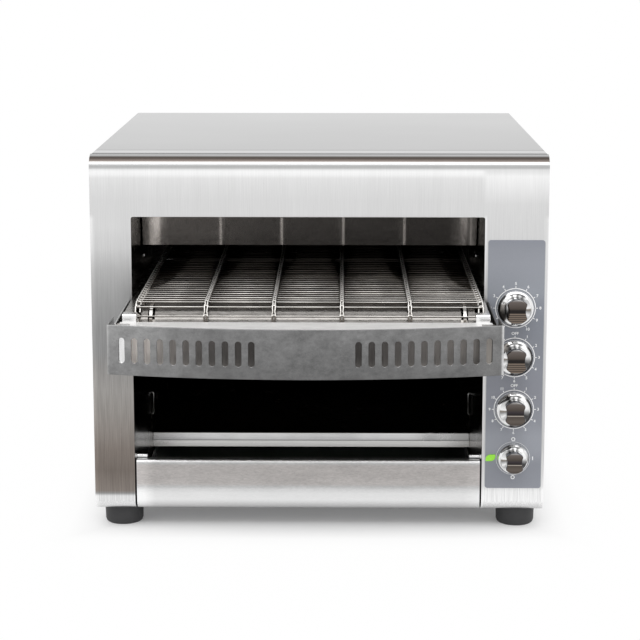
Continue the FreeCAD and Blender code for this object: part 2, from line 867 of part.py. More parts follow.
def bearing(x0, x1, shaft_y, front):
    """Block with broken corners and a round bore for a shaft, along x."""
    y0 = shaft_y - front
    y1 = shaft_y + bearing_back
    z0 = rail_top - bearing_height
    cut = bearing_corner
    outline = [(y0 + cut, z0), (y1 - cut, z0), (y1, z0 + cut), (y1, rail_top - cut), (y1 - cut, rail_top),
               (y0 + cut, rail_top), (y0, rail_top - cut), (y0, z0 + cut)]
    bore = rod(shaft_radius + running_gap, Vector(x0 - overrun, shaft_y, shaft_z),
               Vector(x1 + overrun, shaft_y, shaft_z))
    return prism(outline, "YZ", x0, x1).cut(bore)


def bearings(shaft_y, front):
    """Blocks on both rails that hold a shaft, the left one first."""
    left = open_left + rail_thick
    right = open_right - rail_thick
    return [bearing(left, left + bearing_width, shaft_y, front),
            bearing(right - bearing_narrow, right, shaft_y, front)]


def front_bearings():
    """Bearing blocks of the front shaft, each with a taller end in front of the edge of the belt."""
    left = open_left + rail_thick
    right = open_right - rail_thick
    blocks = []
    for block, x0 in zip(bearings(front_shaft_y, bearing_front), (left, right - end_block_width)):
        end = box(x0, x0 + end_block_width, -rail_reach, end_block_depth - rail_reach,
                  rail_top - bearing_height, belt_top - end_block_drop)
        upper = [e for e in end.Edges if e.CenterOfMass.z > belt_top - end_block_drop - end_block_corner
                 and abs(e.tangentAt(e.FirstParameter).x) > 0.5]
        blocks.append(end.makeChamfer(end_block_corner, upper).fuse(block).removeSplitter())
    return group(blocks)


def shaft(y, x1):
    """Six-sided shaft turned round where it runs in its bearings, from the left rail to x1."""
    x0 = open_left + rail_thick + running_gap
    flat_x0 = open_left + rail_thick + bearing_width + side_play
    flat_x1 = open_right - rail_thick - bearing_narrow - side_play
    pieces = [rod(shaft_radius, Vector(x0, y, shaft_z), Vector(flat_x0, y, shaft_z)),
              rod(shaft_radius, Vector(flat_x1, y, shaft_z), Vector(x1, y, shaft_z))]
    middle = flatted(shaft_flat, shaft_sides, Vector(flat_x0, y, shaft_z), Vector(flat_x1, y, shaft_z))
    return middle.fuse(pieces)


def gearbox():
    """Reduction gearbox with a hollow output, on four stand-offs from the chamber wall."""
    wall = open_right + sheet
    x0 = wall + gearbox_offset
    y0 = rear_shaft_y - gearbox_depth / 2
    z0 = shaft_z - gearbox_height / 2
    case = box(x0, x0 + gearbox_width, y0, y0 + gearbox_depth, z0, z0 + gearbox_height)
    case = case.makeChamfer(gearbox_corner, [e for e in case.Edges
                                             if abs(e.tangentAt(e.FirstParameter).x) > 0.5])
    posts = []
    for y in (y0 + post_inset, y0 + gearbox_depth - post_inset):
        for z in (z0 + post_inset, z0 + gearbox_height - post_inset):
            posts.append(flatted(post_radius, shaft_sides, Vector(wall, y, z), Vector(x0, y, z)))
    bore = rod(shaft_radius + running_gap, Vector(x0 - overrun, rear_shaft_y, shaft_z),
               Vector(x0 + shaft_in_gearbox + side_play, rear_shaft_y, shaft_z))
    return case.cut(bore).fuse(posts)


def motor():
    """Shaded-pole motor on the gearbox: laminated core with its coil above."""
    x0 = open_right + sheet + gearbox_offset + gearbox_width
    core_top = shaft_z + motor_height / 4
    core = box(x0, x0 + motor_width, rear_shaft_y - motor_depth / 2, rear_shaft_y + motor_depth / 2,
               shaft_z - motor_height / 2, core_top)
    coil = box(x0 + coil_inset, x0 + motor_width - coil_inset, rear_shaft_y - motor_depth / 3,
               rear_shaft_y + motor_depth / 3, core_top, shaft_z + motor_height / 2)
    return core.fuse(coil)


def cross_rods():
    """Rods that tie the two rails together."""
    x0 = open_left + rail_thick
    x1 = open_right - rail_thick
    z = belt_top - rod_drop
    rods = []
    for i in range(rod_count):
        y = rod_first + i * rod_pitch
        rods.append(rod(rod_radius, Vector(x0, y, z), Vector(x1, y, z)))
    return group(rods)


def support_bars():
    """Strips on edge under the joints of the belt, lying on the cross rods."""
    low = belt_top - rod_drop + rod_radius
    high = belt_top - wire / 2 - bar_gap
    y0 = nose_rear + overrun
    y1 = rod_first + (rod_count - 1) * rod_pitch + rod_radius
    return group([box(x - bar_thick / 2, x + bar_thick / 2, y0, y1, low, high) for x in joints])


def nose_plate():
    """Plate under the front of the belt, on the first cross rod, rolled round the front shaft."""
    high = belt_top - nose_drop
    low = belt_top - rod_drop + rod_radius
    left = open_left + cap_left_width + nose_cap_gap
    right = open_right - cap_right_width - nose_cap_gap
    line = [(left, low), (left, high), (right, high), (right, low)]
    wide = folded(line, [fold_bend, fold_bend], -thin_sheet, "XZ", -nose_full, nose_rear)
    x0 = belt_left + nose_side_gap
    x1 = belt_right - nose_side_gap
    radius = high - shaft_z
    inner = radius - thin_sheet
    turn = math.radians(nose_wrap)

    def on_arc(r, angle):
        return Vector(x0, front_shaft_y - r * math.sin(angle), shaft_z + r * math.cos(angle))

    edges = [Part.makeLine(Vector(x0, -nose_full, high), on_arc(radius, 0))]
    edges.append(Part.Arc(on_arc(radius, 0), on_arc(radius, turn / 2), on_arc(radius, turn)).toShape())
    edges.append(Part.makeLine(on_arc(radius, turn), on_arc(inner, turn)))
    edges.append(Part.Arc(on_arc(inner, turn), on_arc(inner, turn / 2), on_arc(inner, 0)).toShape())
    edges.append(Part.makeLine(on_arc(inner, 0), Vector(x0, -nose_full, high - thin_sheet)))
    edges.append(Part.makeLine(Vector(x0, -nose_full, high - thin_sheet), Vector(x0, -nose_full, high)))
    nose = Part.Face(Part.Wire(edges)).extrude(along_x * (x1 - x0))
    cuts = []
    for x in roller_xs():
        cuts.append(box(x - nose_notch, x + nose_notch, front_shaft_y - pitch_radius,
                        front_shaft_y + pitch_radius, rail_low, belt_top))
    return wide.fuse(nose).cut(cuts).removeSplitter()


def lower_reflector():
    """Bright sheet between the two runs of the belt, with turned-up ends."""
    z = belt_top - reflector_drop
    y0 = reflector_front
    y1 = body_depth - reflector_rear
    end_z = z + reflector_turn / 2
    line = [(y0 - reflector_turn, end_z), (y0, z), (y1, z), (y1 + reflector_turn, end_z)]
    return folded(line, [fold_bend * 2, fold_bend * 2], thin_sheet, "YZ", open_left + rail_thick,
                  open_right - rail_thick)


def guard_circle():
    """Centre height above x and radius of the bow of the guard band, in plan."""
    chord = (guard_right - guard_left) / 2
    radius = (chord ** 2 + guard_bow ** 2) / (2 * guard_bow)
    return (guard_left + guard_right) / 2, radius - guard_reach, radius


def bow_y(x, inset):
    """The y of the bowed band at x, a given depth behind its front face."""
    middle, centre_y, radius = guard_circle()
    return centre_y - math.sqrt((radius - inset) ** 2 - (x - middle) ** 2)


def burn_guard():
    """Bowed band with two groups of upright slots and short returns at both ends."""
    middle, centre_y, radius = guard_circle()
    inner = guard_thick
    left = guard_left + inner
    right = guard_right - inner

    def place(x, y):
        return Vector(x, y, guard_low)

    return_y = guard_end_y + guard_return
    ends = ((left + guard_return_lean, return_y), (right - guard_return_lean, return_y))
    edges = [Part.makeLine(place(*ends[0]), place(left, bow_y(left, inner)))]
    edges.append(Part.Arc(place(left, bow_y(left, inner)), place(middle, bow_y(middle, inner)),
                          place(right, bow_y(right, inner))).toShape())
    edges.append(Part.makeLine(place(right, bow_y(right, inner)), place(*ends[1])))
    path = Part.Wire(edges)
    face = path.makeOffset2D(inner, 0, True, True)
    band = face.extrude(along_z * guard_height)
    if band.BoundBox.YMin > -guard_reach + inner / 2:
        face = path.makeOffset2D(-inner, 0, True, True)
        band = face.extrude(along_z * guard_height)
    cuts = []
    z = guard_low + guard_height / 2
    for i in range(guard_slot_count):
        inset = guard_slot_inset + i * guard_slot_pitch
        for x in (guard_left + inset, guard_right - inset):
            cuts.append(upright_slot(x, z, guard_slot_width, guard_slot_height, -guard_reach - overrun,
                                     guard_end_y + overrun * 2))
    return band.cut(cuts)


def guard_arm(side):
    """Side plate that hooks into the front panel and carries the band on its front flange."""
    x = (open_left if side < 0 else open_right) + side * arm_inset
    inner_x = x - side * arm_flange
    inset = guard_thick * 2 + arm_fit
    line = [(x, 0), (x, bow_y(x, inset)), (inner_x, bow_y(inner_x, inset))]
    arm = folded(line, [fold_bend], side * guard_thick, "XY", guard_high - arm_height, guard_high)
    mid = arm_middle()
    outer = x + side * guard_thick
    tab = box(min(x, outer), max(x, outer), 0, sheet + arm_tab_depth, mid - arm_tab / 2, mid + arm_tab / 2)
    hook = box(min(x, outer), max(x, outer), sheet + arm_fit, sheet + arm_tab_depth,
               mid - arm_tab / 2 - arm_tab_depth, mid - arm_tab / 2)
    return arm.fuse([tab, hook]).removeSplitter()


def guard_shelf():
    """Level strip behind the top of the band, with a straight rear edge folded down over the rail ends."""
    x0 = open_left
    x1 = open_right
    rear_y = -rail_reach
    high = guard_high
    low = high - guard_thick
    middle, centre_y, radius = guard_circle()
    inset = guard_thick + arm_fit

    def place(x, y):
        return Vector(x, y, low)

    bow = [place(x, bow_y(x, inset)) for x in (x0, middle, x1)]
    edges = [Part.makeLine(place(x1, rear_y), place(x0, rear_y))]
    edges.append(Part.makeLine(place(x0, rear_y), bow[0]))
    edges.append(Part.Arc(*bow).toShape())
    edges.append(Part.makeLine(bow[2], place(x1, rear_y)))
    plate = Part.Face(Part.Wire(edges)).extrude(along_z * guard_thick)
    hem = box(x0, x1, rear_y - guard_thick, rear_y, high - shelf_hem, low)
    cuts = []
    for side, edge in ((-1, open_left), (1, open_right)):
        inner_x = edge + side * arm_inset - side * (arm_flange + shelf_side_gap)
        outer_x = edge + side * overrun
        cuts.append(box(min(inner_x, outer_x), max(inner_x, outer_x), -guard_reach,
                        bow_y(edge, guard_thick) + guard_thick * 2 + overrun, low - overrun, high + overrun))
    return plate.fuse(hem).cut(cuts).removeSplitter()


def crumb_tray():
    """Pull-out tray whose rolled front fills the bottom of the opening."""
    x0 = open_left + tray_side_gap
    x1 = open_right - tray_side_gap
    low = pan_top + tray_lift
    high = floor + tray_height
    flat_end = bottom_bend + tray_flat
    line = [(tray_top_flange, high), (0, high), (0, floor), (flat_end, floor), (flat_end + tray_step, low)]
    line += [(tray_depth, low), (tray_depth, low + tray_wall)]
    bends = [tray_top_bend, bottom_bend - seam_gap, fold_bend, fold_bend, fold_bend]
    tray = folded(line, bends, thin_sheet, "YZ", x0, x1)
    sides = []
    for x in (x0, x1 - thin_sheet):
        sides.append(box(x, x + thin_sheet, flat_end + tray_step + fold_bend, tray_depth,
                         low, low + tray_wall))
    return tray.fuse(sides).removeSplitter()


def tray_pins():
    """Pins on both chamber walls just above the tray."""
    pins = []
    z = floor + tray_height + pin_radius + pin_lift
    for wall, side in ((open_left, 1), (open_right, -1)):
        pins.append(rod(pin_radius, Vector(wall, pin_y, z), Vector(wall + side * pin_length, pin_y, z)))
    return group(pins)


def chute_point(y):
    return floor + chute_height + (y - chute_y) * chute_slope


def discharge_chute():
    """Slide plate under the belt: lip at the front, low sides, curved up at the rear."""
    x0 = open_left + chute_gap
    x1 = open_right - chute_gap
    rear = body_depth - chute_rear_gap
    line = [(chute_y, chute_point(chute_y) - chute_lip), (chute_y, chute_point(chute_y)),
            (rear, chute_point(rear)), (rear, chute_point(rear) + chute_rise)]
    chute = folded(line, [fold_bend, chute_turn], -sheet, "YZ", x0, x1)
    flat_end = rear - chute_turn
    start = chute_y + fold_bend
    profile = [(start, chute_point(start) - sheet), (flat_end, chute_point(flat_end) - sheet),
               (flat_end, chute_point(flat_end) + chute_side),
               (start + chute_side, chute_point(start) + chute_side)]
    sides = [prism(profile, "YZ", x0, x0 + sheet), prism(profile, "YZ", x1 - sheet, x1)]
    return chute.fuse(sides).removeSplitter()


def chute_support():
    """Angle across the chamber under the front of the chute."""
    y0 = chute_y + sheet
    high = chute_point(y0) - sheet - seam_gap
    line = [(y0, high - support_drop), (y0, high), (y0 + support_foot, high + support_foot * chute_slope)]
    return folded(line, [fold_bend], -sheet, "YZ", open_left, open_right)


def rear_deflector():
    """Sheet behind the end of the belt that turns the toast down to the chute."""
    y1 = body_depth - chute_rear_gap
    low = chute_point(y1) + chute_rise - deflector_lap
    top_y = y1 - deflector_lean
    line = [(y1, low), (y1, belt_top), (top_y, wall_high), (top_y - edge_flange, wall_high)]
    return folded(line, [fold_bend, fold_bend], sheet, "YZ", open_left, open_right)


def fan_housing():
    """Square fan frame with its round bore, and the struts that hold the motor plate."""
    centre = fan_centre()
    reach = fan_size / 2
    y1 = centre.y
    y0 = y1 - fan_depth
    frame = box(centre.x - reach, centre.x + reach, y0, y1, centre.z - reach, centre.z + reach)
    frame = frame.cut(rod(fan_bore, Vector(centre.x, y0, centre.z), centre))
    plate_end = Vector(centre.x, y0 + fan_web, centre.z)
    parts = [flatted(fan_hub, hidden_sides, Vector(centre.x, y0, centre.z), plate_end)]
    for i in range(fan_struts):
        strut = box(0, fan_bore + fan_tip_gap, y0, y0 + fan_web, -fan_strut_width / 2, fan_strut_width / 2)
        strut.rotate(Vector(0, 0, 0), along_y, 360 / fan_struts * i)
        strut.translate(Vector(centre.x, 0, centre.z))
        parts.append(strut)
    bore = flatted(fan_axle + running_gap, hidden_sides, Vector(centre.x, y0 - overrun, centre.z),
                   plate_end + along_y * overrun)
    return frame.fuse(parts).removeSplitter().cut(bore)


def fan_rotor():
    """Fan wheel: hub, twisted blades and axle."""
    centre = fan_centre()
    y0 = centre.y - fan_depth + fan_web
    y1 = centre.y - fan_tip_gap
    tip = fan_bore - fan_tip_gap
    hub = flatted(fan_hub, hidden_sides, Vector(0, y0 + fan_tip_gap, 0), Vector(0, y1, 0))
    axle = rod(fan_axle, Vector(0, y0 - fan_web, 0), Vector(0, y0 + fan_tip_gap, 0))
    blades = []
    for i in range(fan_blade_count):
        blade = box(fan_hub / 2, tip * fan_blade_share, -fan_blade_width / 2, fan_blade_width / 2,
                    -fan_blade_thick / 2, fan_blade_thick / 2)
        blade.rotate(Vector(0, 0, 0), along_x, fan_blade_angle)
        blade.translate(Vector(0, (y0 + fan_tip_gap + y1) / 2, 0))
        blade.rotate(Vector(0, 0, 0), along_y, 360 / fan_blade_count * i)
        blades.append(blade)
    rotor = hub.fuse(blades).fuse(axle)
    rotor.translate(Vector(centre.x, 0, centre.z))
    return rotor.removeSplitter()


save("front_panel", front_panel())
save("top_cover", top_cover())
save("left_side_panel", side_panel(-1))
save("right_side_panel", side_panel(1))
save("back_panel", back_panel())
save("base_pan", base_pan())
for end, foot_y in foot_ys.items():
    for hand, foot_side in (("left", -1), ("right", 1)):
        save("foot_" + end + "_" + hand, foot(foot_side * foot_x, foot_y))
save("control_label", control_label())
save("indicator_lens", lens_shape(0, -label_thick - lens_rise, lens_depth))
for control_name in knob_heights:
    save(control_name + "_knob", knob(control_name))
save("speed_control", control("speed"))
save("top_heat_control", control("top_heat"))
save("bottom_heat_control", control("bottom_heat"))
save("power_switch", control("power"))
save("terminal_block", terminal_block())
save("chamber_left_wall", chamber_wall(-1))
save("chamber_right_wall", chamber_wall(1))
save("chamber_roof", chamber_roof())
save("air_baffle", air_baffle())
save("upper_heater_tubes", heater_tubes(True))
save("lower_heater_tubes", heater_tubes(False))
save("heater_end_caps", heater_caps())
save("lower_reflector", lower_reflector())
save("conveyor_left_rail", rail(-1))
save("conveyor_right_rail", rail(1))
save("rail_caps", rail_caps())
save("front_bearings", front_bearings())
save("rear_bearings", group(bearings(rear_shaft_y, bearing_back)))
save("cross_rods", cross_rods())
save("belt_support_bars", support_bars())
save("nose_plate", nose_plate())
for run in ("top_run", "front_turn", "rear_turn", "bottom_run"):
    save("belt_" + run, belt(run))
save("front_shaft", shaft(front_shaft_y, open_right - rail_thick - running_gap))
save("front_rollers", rollers(front_shaft_y))
save("drive_shaft", shaft(rear_shaft_y, open_right + sheet + gearbox_offset + shaft_in_gearbox))
save("rear_sprockets", sprockets(rear_shaft_y))
save("gearbox", gearbox())
save("drive_motor", motor())
save("burn_guard", burn_guard())
save("guard_left_arm", guard_arm(-1))
save("guard_right_arm", guard_arm(1))
save("guard_shelf", guard_shelf())
save("crumb_tray", crumb_tray())
save("tray_pins", tray_pins())
save("discharge_chute", discharge_chute())
save("chute_support", chute_support())
save("rear_deflector", rear_deflector())
save("fan_housing", fan_housing())
save("fan_rotor", fan_rotor())
save("inlet_bush", inlet_bush())
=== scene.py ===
import bmesh
import bpy
import math
from mathutils import Matrix, Vector


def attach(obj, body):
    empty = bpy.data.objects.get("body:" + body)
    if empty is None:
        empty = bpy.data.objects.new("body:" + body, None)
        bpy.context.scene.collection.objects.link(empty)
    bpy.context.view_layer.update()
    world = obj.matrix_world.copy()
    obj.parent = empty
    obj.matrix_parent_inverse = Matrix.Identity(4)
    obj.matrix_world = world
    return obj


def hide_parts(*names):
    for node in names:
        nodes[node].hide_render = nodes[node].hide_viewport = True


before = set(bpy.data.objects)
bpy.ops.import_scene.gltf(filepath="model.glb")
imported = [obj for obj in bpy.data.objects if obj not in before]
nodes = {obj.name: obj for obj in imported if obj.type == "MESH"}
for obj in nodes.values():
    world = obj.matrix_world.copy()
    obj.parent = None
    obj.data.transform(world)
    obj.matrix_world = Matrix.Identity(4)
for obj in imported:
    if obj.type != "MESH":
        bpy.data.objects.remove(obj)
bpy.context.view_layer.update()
MM = 0.001

# Sizes of the model in millimetres: x to the right, f from the cabinet's front face to the rear, z up.
FRONT_SHIFT = -160.5
FLOOR, TOP = 21.0, 396.5
HALF = 235.0
LEFT, RIGHT = -193.0, 170.0
WALLS = ((LEFT, 1), (RIGHT, -1))
SHEET, THIN = 1.2, 1.0
BELT_Z, PITCH, TEETH, WIRE = 257.0, 11.1, 12, 1.8
PITCH_RADIUS = PITCH / (2 * math.sin(math.pi / TEETH))
SHAFT_Z = BELT_Z - PITCH_RADIUS
FRONT_SHAFT, REAR_SHAFT, RUN_PITCHES = -65.0, 379.0, 40
BELT_LEFT, BELT_RIGHT = -180.8, 163.2
JOINTS = (-111.1, -43.8, 23.5, 90.8)
KNOBS = {"speed": (238.7, 19.0), "top_heat": (186.7, 19.0), "bottom_heat": (131.4, 19.0), "power": (78.9, 16.5)}
KNOB_X = 202.5
PANEL_BEND, LOWER_BEND = 14.0, 13.0
GUARD_LEFT, GUARD_RIGHT, GUARD_REACH, GUARD_BOW = -205.0, 181.0, 139.0, 22.0
GUARD_LOW, GUARD_HIGH, GUARD_THICK = 195.5, 245.0, 1.5


scene = bpy.context.scene


def show(thing):
    """Put an object into the scene."""
    scene.collection.objects.link(thing)


def at(x, f, z):
    """A place in the model's own frame, in metres."""
    return Vector((x * MM, (f + FRONT_SHIFT) * MM, z * MM))


# ---- materials

WHITE = (1.0, 1.0, 1.0)
# near-black tones; inside the chute they are painted shade
BLACK_TONES = ((0.03, 0.027, 0.024), (0.06, 0.054, 0.05))


class Shade:
    """A material and the few calls that its nodes need."""

    def __init__(self, name, **values):
        self.material = bpy.data.materials.new(name)
        self.material.use_nodes = True
        self.tree = self.material.node_tree
        self.shader = self.tree.nodes["Principled BSDF"]
        self.place = self.add("ShaderNodeTexCoord").outputs["Object"]
        for socket, value in values.items():
            self.shader.inputs[socket.replace("_", " ")].default_value = value

    def add(self, kind, **settings):
        node = self.tree.nodes.new(kind)
        for key, value in settings.items():
            setattr(node, key, value)
        return node

    def link(self, source, target):
        self.tree.links.new(source, target)
        return source

    def noise(self, scale, detail=3.0, roughness=0.55):
        """Noise with its own scale along each axis of the object."""
        stretched = self.add("ShaderNodeMapping")
        stretched.inputs["Scale"].default_value = scale
        self.link(self.place, stretched.inputs["Vector"])
        node = self.add("ShaderNodeTexNoise")
        node.inputs["Scale"].default_value = 1.0
        node.inputs["Detail"].default_value = detail
        node.inputs["Roughness"].default_value = roughness
        self.link(stretched.outputs["Vector"], node.inputs["Vector"])
        return node.outputs["Fac"]

    def ramp(self, factor, stops):
        """Colour ramp; each stop is a place and a grey or a colour."""
        node = self.add("ShaderNodeValToRGB")
        spots = node.color_ramp.elements
        while len(spots) < len(stops):
            spots.new(0.5)
        for spot, (place, tone) in zip(spots, stops):
            spot.position = place
            colour = (tone,) * 3 if isinstance(tone, (int, float)) else tone
            spot.color = (*colour, 1.0)
        self.link(factor, node.inputs["Fac"])
        return node.outputs["Color"]

    def span(self, value, low, high, out_low=0.0, out_high=1.0):
        node = self.add("ShaderNodeMapRange")
        for socket, number in (("From Min", low), ("From Max", high), ("To Min", out_low), ("To Max", out_high)):
            node.inputs[socket].default_value = number
        self.link(value, node.inputs["Value"])
        return node.outputs["Result"]

    def math(self, operation, first, second):
        node = self.add("ShaderNodeMath", operation=operation)
        for socket, value in zip(node.inputs, (first, second)):
            if isinstance(value, (int, float)):
                socket.default_value = value
            else:
                self.link(value, socket)
        return node.outputs["Value"]

    def mix(self, factor, first, second, blend="MIX"):
        node = self.add("ShaderNodeMix", data_type="RGBA", blend_type=blend)
        for socket, value in ((node.inputs[0], factor), (node.inputs[6], first), (node.inputs[7], second)):
            if isinstance(value, (int, float)):
                socket.default_value = value
            elif isinstance(value, tuple):
                socket.default_value = (*value, 1.0)
            else:
                self.link(value, socket)
        return node.outputs[2]

    def axis(self, name):
        node = self.add("ShaderNodeSeparateXYZ")
        self.link(self.place, node.inputs["Vector"])
        return node.outputs[name]

    def step(self, name, low, high):
        """Nought before one place along an axis and one past another, in millimetres."""
        return self.span(self.axis(name), low * MM, high * MM)

    def along(self, name, low, high, stops):
        """Colour ramp along one axis, from one place to another, in millimetres of the object's own frame."""
        return self.ramp(self.step(name, low, high), stops)

    def profile(self, name, stops, shift=0.0):
        """Colour ramp through tones that are given at places along one axis, in millimetres."""
        low, high = stops[0][0], stops[-1][0]
        return self.along(name, low + shift, high + shift,
                          tuple(((place - low) / (high - low), tone) for place, tone in stops))

    def varied(self, noise, low, high):
        """Tone or colour between two, as a noise has it."""
        return self.ramp(noise, ((0.3, low), (0.7, high)))

    def times(self, first, second):
        return self.mix(1.0, first, second, "MULTIPLY")

    def facing_up(self):
        """One where the surface faces upwards, else nought."""
        node = self.add("ShaderNodeSeparateXYZ")
        self.link(self.add("ShaderNodeNewGeometry").outputs["Normal"], node.inputs["Vector"])
        return self.span(node.outputs["Z"], 0.35, 0.75)

    def colour(self, source):
        self.link(source, self.shader.inputs["Base Color"])

    def rough(self, source):
        self.link(source, self.shader.inputs["Roughness"])

    def bump(self, source, depth_mm):
        node = self.add("ShaderNodeBump")
        node.inputs["Distance"].default_value = depth_mm * MM
        self.link(source, node.inputs["Height"])
        self.link(node.outputs["Normal"], self.shader.inputs["Normal"])

    def finish(self, noise, low, high, depth_mm):
        """Roughness and bump from one noise."""
        self.rough(self.span(noise, 0.2, 0.8, low, high))
        self.bump(noise, depth_mm)
        return self.material


def metal(name, roughness):
    return Shade(name, Metallic=1.0, Roughness=roughness)


def grey(value):
    """Linear tone of a display grey from 0 to 255."""
    v = value / 255
    return v / 12.92 if v <= 0.04045 else ((v + 0.055) / 1.055) ** 2.4


def tint(red, green, blue):
    """Linear colour of a display colour from 0 to 255."""
    return (grey(red), grey(green), grey(blue))


def display(*stops):
    """Stops whose display tones, greys or colours from 0 to 255, are made linear."""
    return tuple((place, tint(*tone) if isinstance(tone, tuple) else grey(tone)) for place, tone in stops)


def front_steel():
    """Front sheet: vertical grain; pale above, darker down the columns, pale again on the bottom roll, and the bands
    that a rounded top edge shows, all painted reflection; the bright lines at the sheet's ends and at the sides of the
    opening are painted highlights."""
    s = metal("front_steel", 0.3)
    high = TOP - PANEL_BEND
    # painted reflection: tones that fall down the columns and rise again on the bottom roll
    flat = s.profile("Z", display(
        (21, 206), (24, 232), (28, 236), (33, 228), (36.5, 226), (37.6, 204), (39, 150), (42, (134, 126, 120)),
        (64, (119, 111, 105)), (86, (128, 120, 114)), (108, (142, 136, 131)), (130, (150, 146, 142)),
        (151, (156, 153, 150)), (172, (151, 149, 147)), (194, 146), (215, 147), (236, 157), (257, 168), (278, 183),
        (300, 208), (322, 217), (335, 217), (350, 218), (365, 224), (373, 229), (377, 247), (380.5, 250), (high, 226)))
    # painted reflection down the right column
    right = s.along("Z", FLOOR, high,
                    display((0.0, 206), (0.03, 246), (0.06, 240), (0.075, 216), (0.2, 196), (0.5, 196), (0.75, 212),
                            (0.9, 220), (0.98, 247), (1.0, 226)))
    flat = s.mix(s.step("X", 166, 172), flat, right)
    rise = s.math("SUBTRACT", s.axis("Z"), high * MM)
    back = s.math("SUBTRACT", (PANEL_BEND + FRONT_SHIFT) * MM, s.axis("Y"))
    angle = s.math("ARCTAN2", rise, back)
    # painted reflection bands round the rounded top edge
    bend_reflection = s.ramp(s.span(angle, 0.0, math.pi / 2),
                  display((0.0, 215), (0.06, 190), (0.12, 180), (0.2, 186), (0.25, 222), (0.285, 238), (0.32, 200),
                          (0.36, (122, 116, 112)), (0.42, (92, 85, 81)), (0.55, (78, 71, 67)), (0.63, (92, 86, 82)),
                          (0.7, 150), (0.77, 180), (0.88, 160), (0.95, 110), (1.0, 96)))
    base = s.mix(s.step("Z", high - 0.2, high + 0.2), flat, bend_reflection)
    # painted highlights: bright lines at the sheet's two ends and at the two sides of the opening, below its top
    edge = s.along("X", -HALF, HALF, ((0.0, 1.25), (0.004, 1.22), (0.01, 1.0), (0.0865, 1.0), (0.0872, 1.45),
                                      (0.0895, 1.45), (0.09, 1.0), (0.8612, 1.0), (0.862, 1.35), (0.865, 1.35),
                                      (0.8655, 1.0), (0.99, 1.0), (1.0, 1.2)))
    base = s.times(base, s.mix(s.step("Z", 331, 336), edge, WHITE))
    fine = s.noise((1500, 1500, 26), 4.0, 0.7)
    streak = s.noise((60, 60, 1.0), 2.0, 0.5)
    low_down = s.along("Z", 150, 330, ((0.0, 1.0), (1.0, 0.25)))
    grain = s.mix(low_down, WHITE, s.varied(fine, 0.78, 1.2))
    s.colour(s.times(s.times(base, grain), s.varied(streak, 0.985, 1.015)))
    return s.finish(fine, 0.26, 0.36, 0.006)


def cover_steel():
    """Lid: fine grain from side to side, painted reflection in the tones across the bent edge in front, and a faint
    darker line behind it.
    """
    s = metal("cover_steel", 0.34)
    # painted reflection across the bent front edge, then a faint darker line behind it
    base = s.profile("Y", display((17, 150), (21, 170), (25, 190), (32, 206), (42, 200), (46, 160), (49, 158),
                                  (53, 182), (100, 184), (210, 188), (310, 191), (460, 196)), FRONT_SHIFT)
    fine = s.noise((9, 900, 900), 3.0, 0.6)
    cloud = s.noise((4, 7, 4), 2.0)
    tone = s.times(base, s.varied(fine, 0.96, 1.03))
    s.colour(s.times(tone, s.varied(cloud, 0.97, 1.02)))
    return s.finish(fine, 0.3, 0.4, 0.005)


def side_steel():
    """Side and back sheets: fine upright grain and a slow change of tone."""
    s = metal("side_steel", 0.36)
    low, high = grey(176), grey(196)
    fine = s.noise((500, 1000, 10), 4.0, 0.7)
    slow = s.noise((4, 4, 3), 2.0)
    s.colour(s.mix(0.45, s.varied(slow, low, high), s.varied(fine, low, high)))
    return s.finish(fine, 0.3, 0.44, 0.02)


def guard_steel():
    """Worn, clouded sheet of the guard band, darker towards the middle and towards the bottom; its two ends are bright
    with painted highlights, and so are its upward faces, most of all on the slot edges.
    """
    s = metal("guard_steel", 0.38)
    # painted highlights at both ends; between them the tone falls towards the middle
    base = s.along("X", GUARD_LEFT, GUARD_RIGHT,
                   display((0.0, 190), (0.006, 150), (0.1, 146), (0.25, 128), (0.5, 120), (0.75, 122), (0.993, 128),
                           (0.9955, 205), (1.0, 215)))
    height = s.along("Z", GUARD_LOW, GUARD_HIGH, ((0.0, 0.86), (0.5, 1.0), (1.0, 1.1)))
    cloud = s.noise((70, 70, 95), 8.0, 0.75)
    patch = s.noise((16, 16, 24), 3.0, 0.6)
    speck = s.noise((1100, 1100, 1100), 3.0, 0.6)
    tone = s.times(base, height)
    tone = s.times(tone, s.varied(cloud, 0.68, 1.3))
    tone = s.times(tone, s.varied(patch, 0.86, 1.12))
    tone = s.times(tone, s.varied(speck, 0.9, 1.08))
    # painted highlight on upward faces, strong on the slot edges and weak along the top
    cut = s.along("Z", 236, 244, ((0.0, 0.86), (1.0, 0.34)))
    s.colour(s.mix(s.facing_up(), tone, cut))
    s.rough(s.span(cloud, 0.3, 0.7, 0.32, 0.5))
    s.bump(cloud, 0.03)
    return s.material


def tray_steel():
    """Tray front: mottled grain from side to side, a painted highlight along the top edge, paler ends, and painted
    reflection that makes it paler where it rolls under.
    """
    s = metal("tray_steel", 0.34)
    # painted reflection, pale where the sheet rolls under, and a painted highlight along the top edge
    base = s.profile("Z", display((21, 196), (26, 214), (33, 232), (40, 228), (44, 214), (47, 190),
                                  (50, (184, 180, 178)), (60, (178, 174, 172)), (70, (178, 174, 172)), (72.5, 186),
                                  (74, 226), (77, 246)))
    ends = s.along("X", -192, 169, ((0.0, 1.3), (0.02, 1.3), (0.055, 1.02), (0.5, 1.0), (0.95, 1.0), (1.0, 1.12)))
    fine = s.noise((260, 900, 1100), 4.0, 0.75)
    streak = s.noise((26, 60, 110), 5.0, 0.65)
    rough_part = s.along("Z", 40, 52, ((0.0, 0.25), (1.0, 1.0)))
    tone = s.times(base, ends)
    tone = s.times(tone, s.mix(rough_part, WHITE, s.varied(fine, 0.8, 1.14)))
    s.colour(s.times(tone, s.mix(rough_part, WHITE, s.varied(streak, 0.9, 1.07))))
    return s.finish(fine, 0.28, 0.42, 0.01)


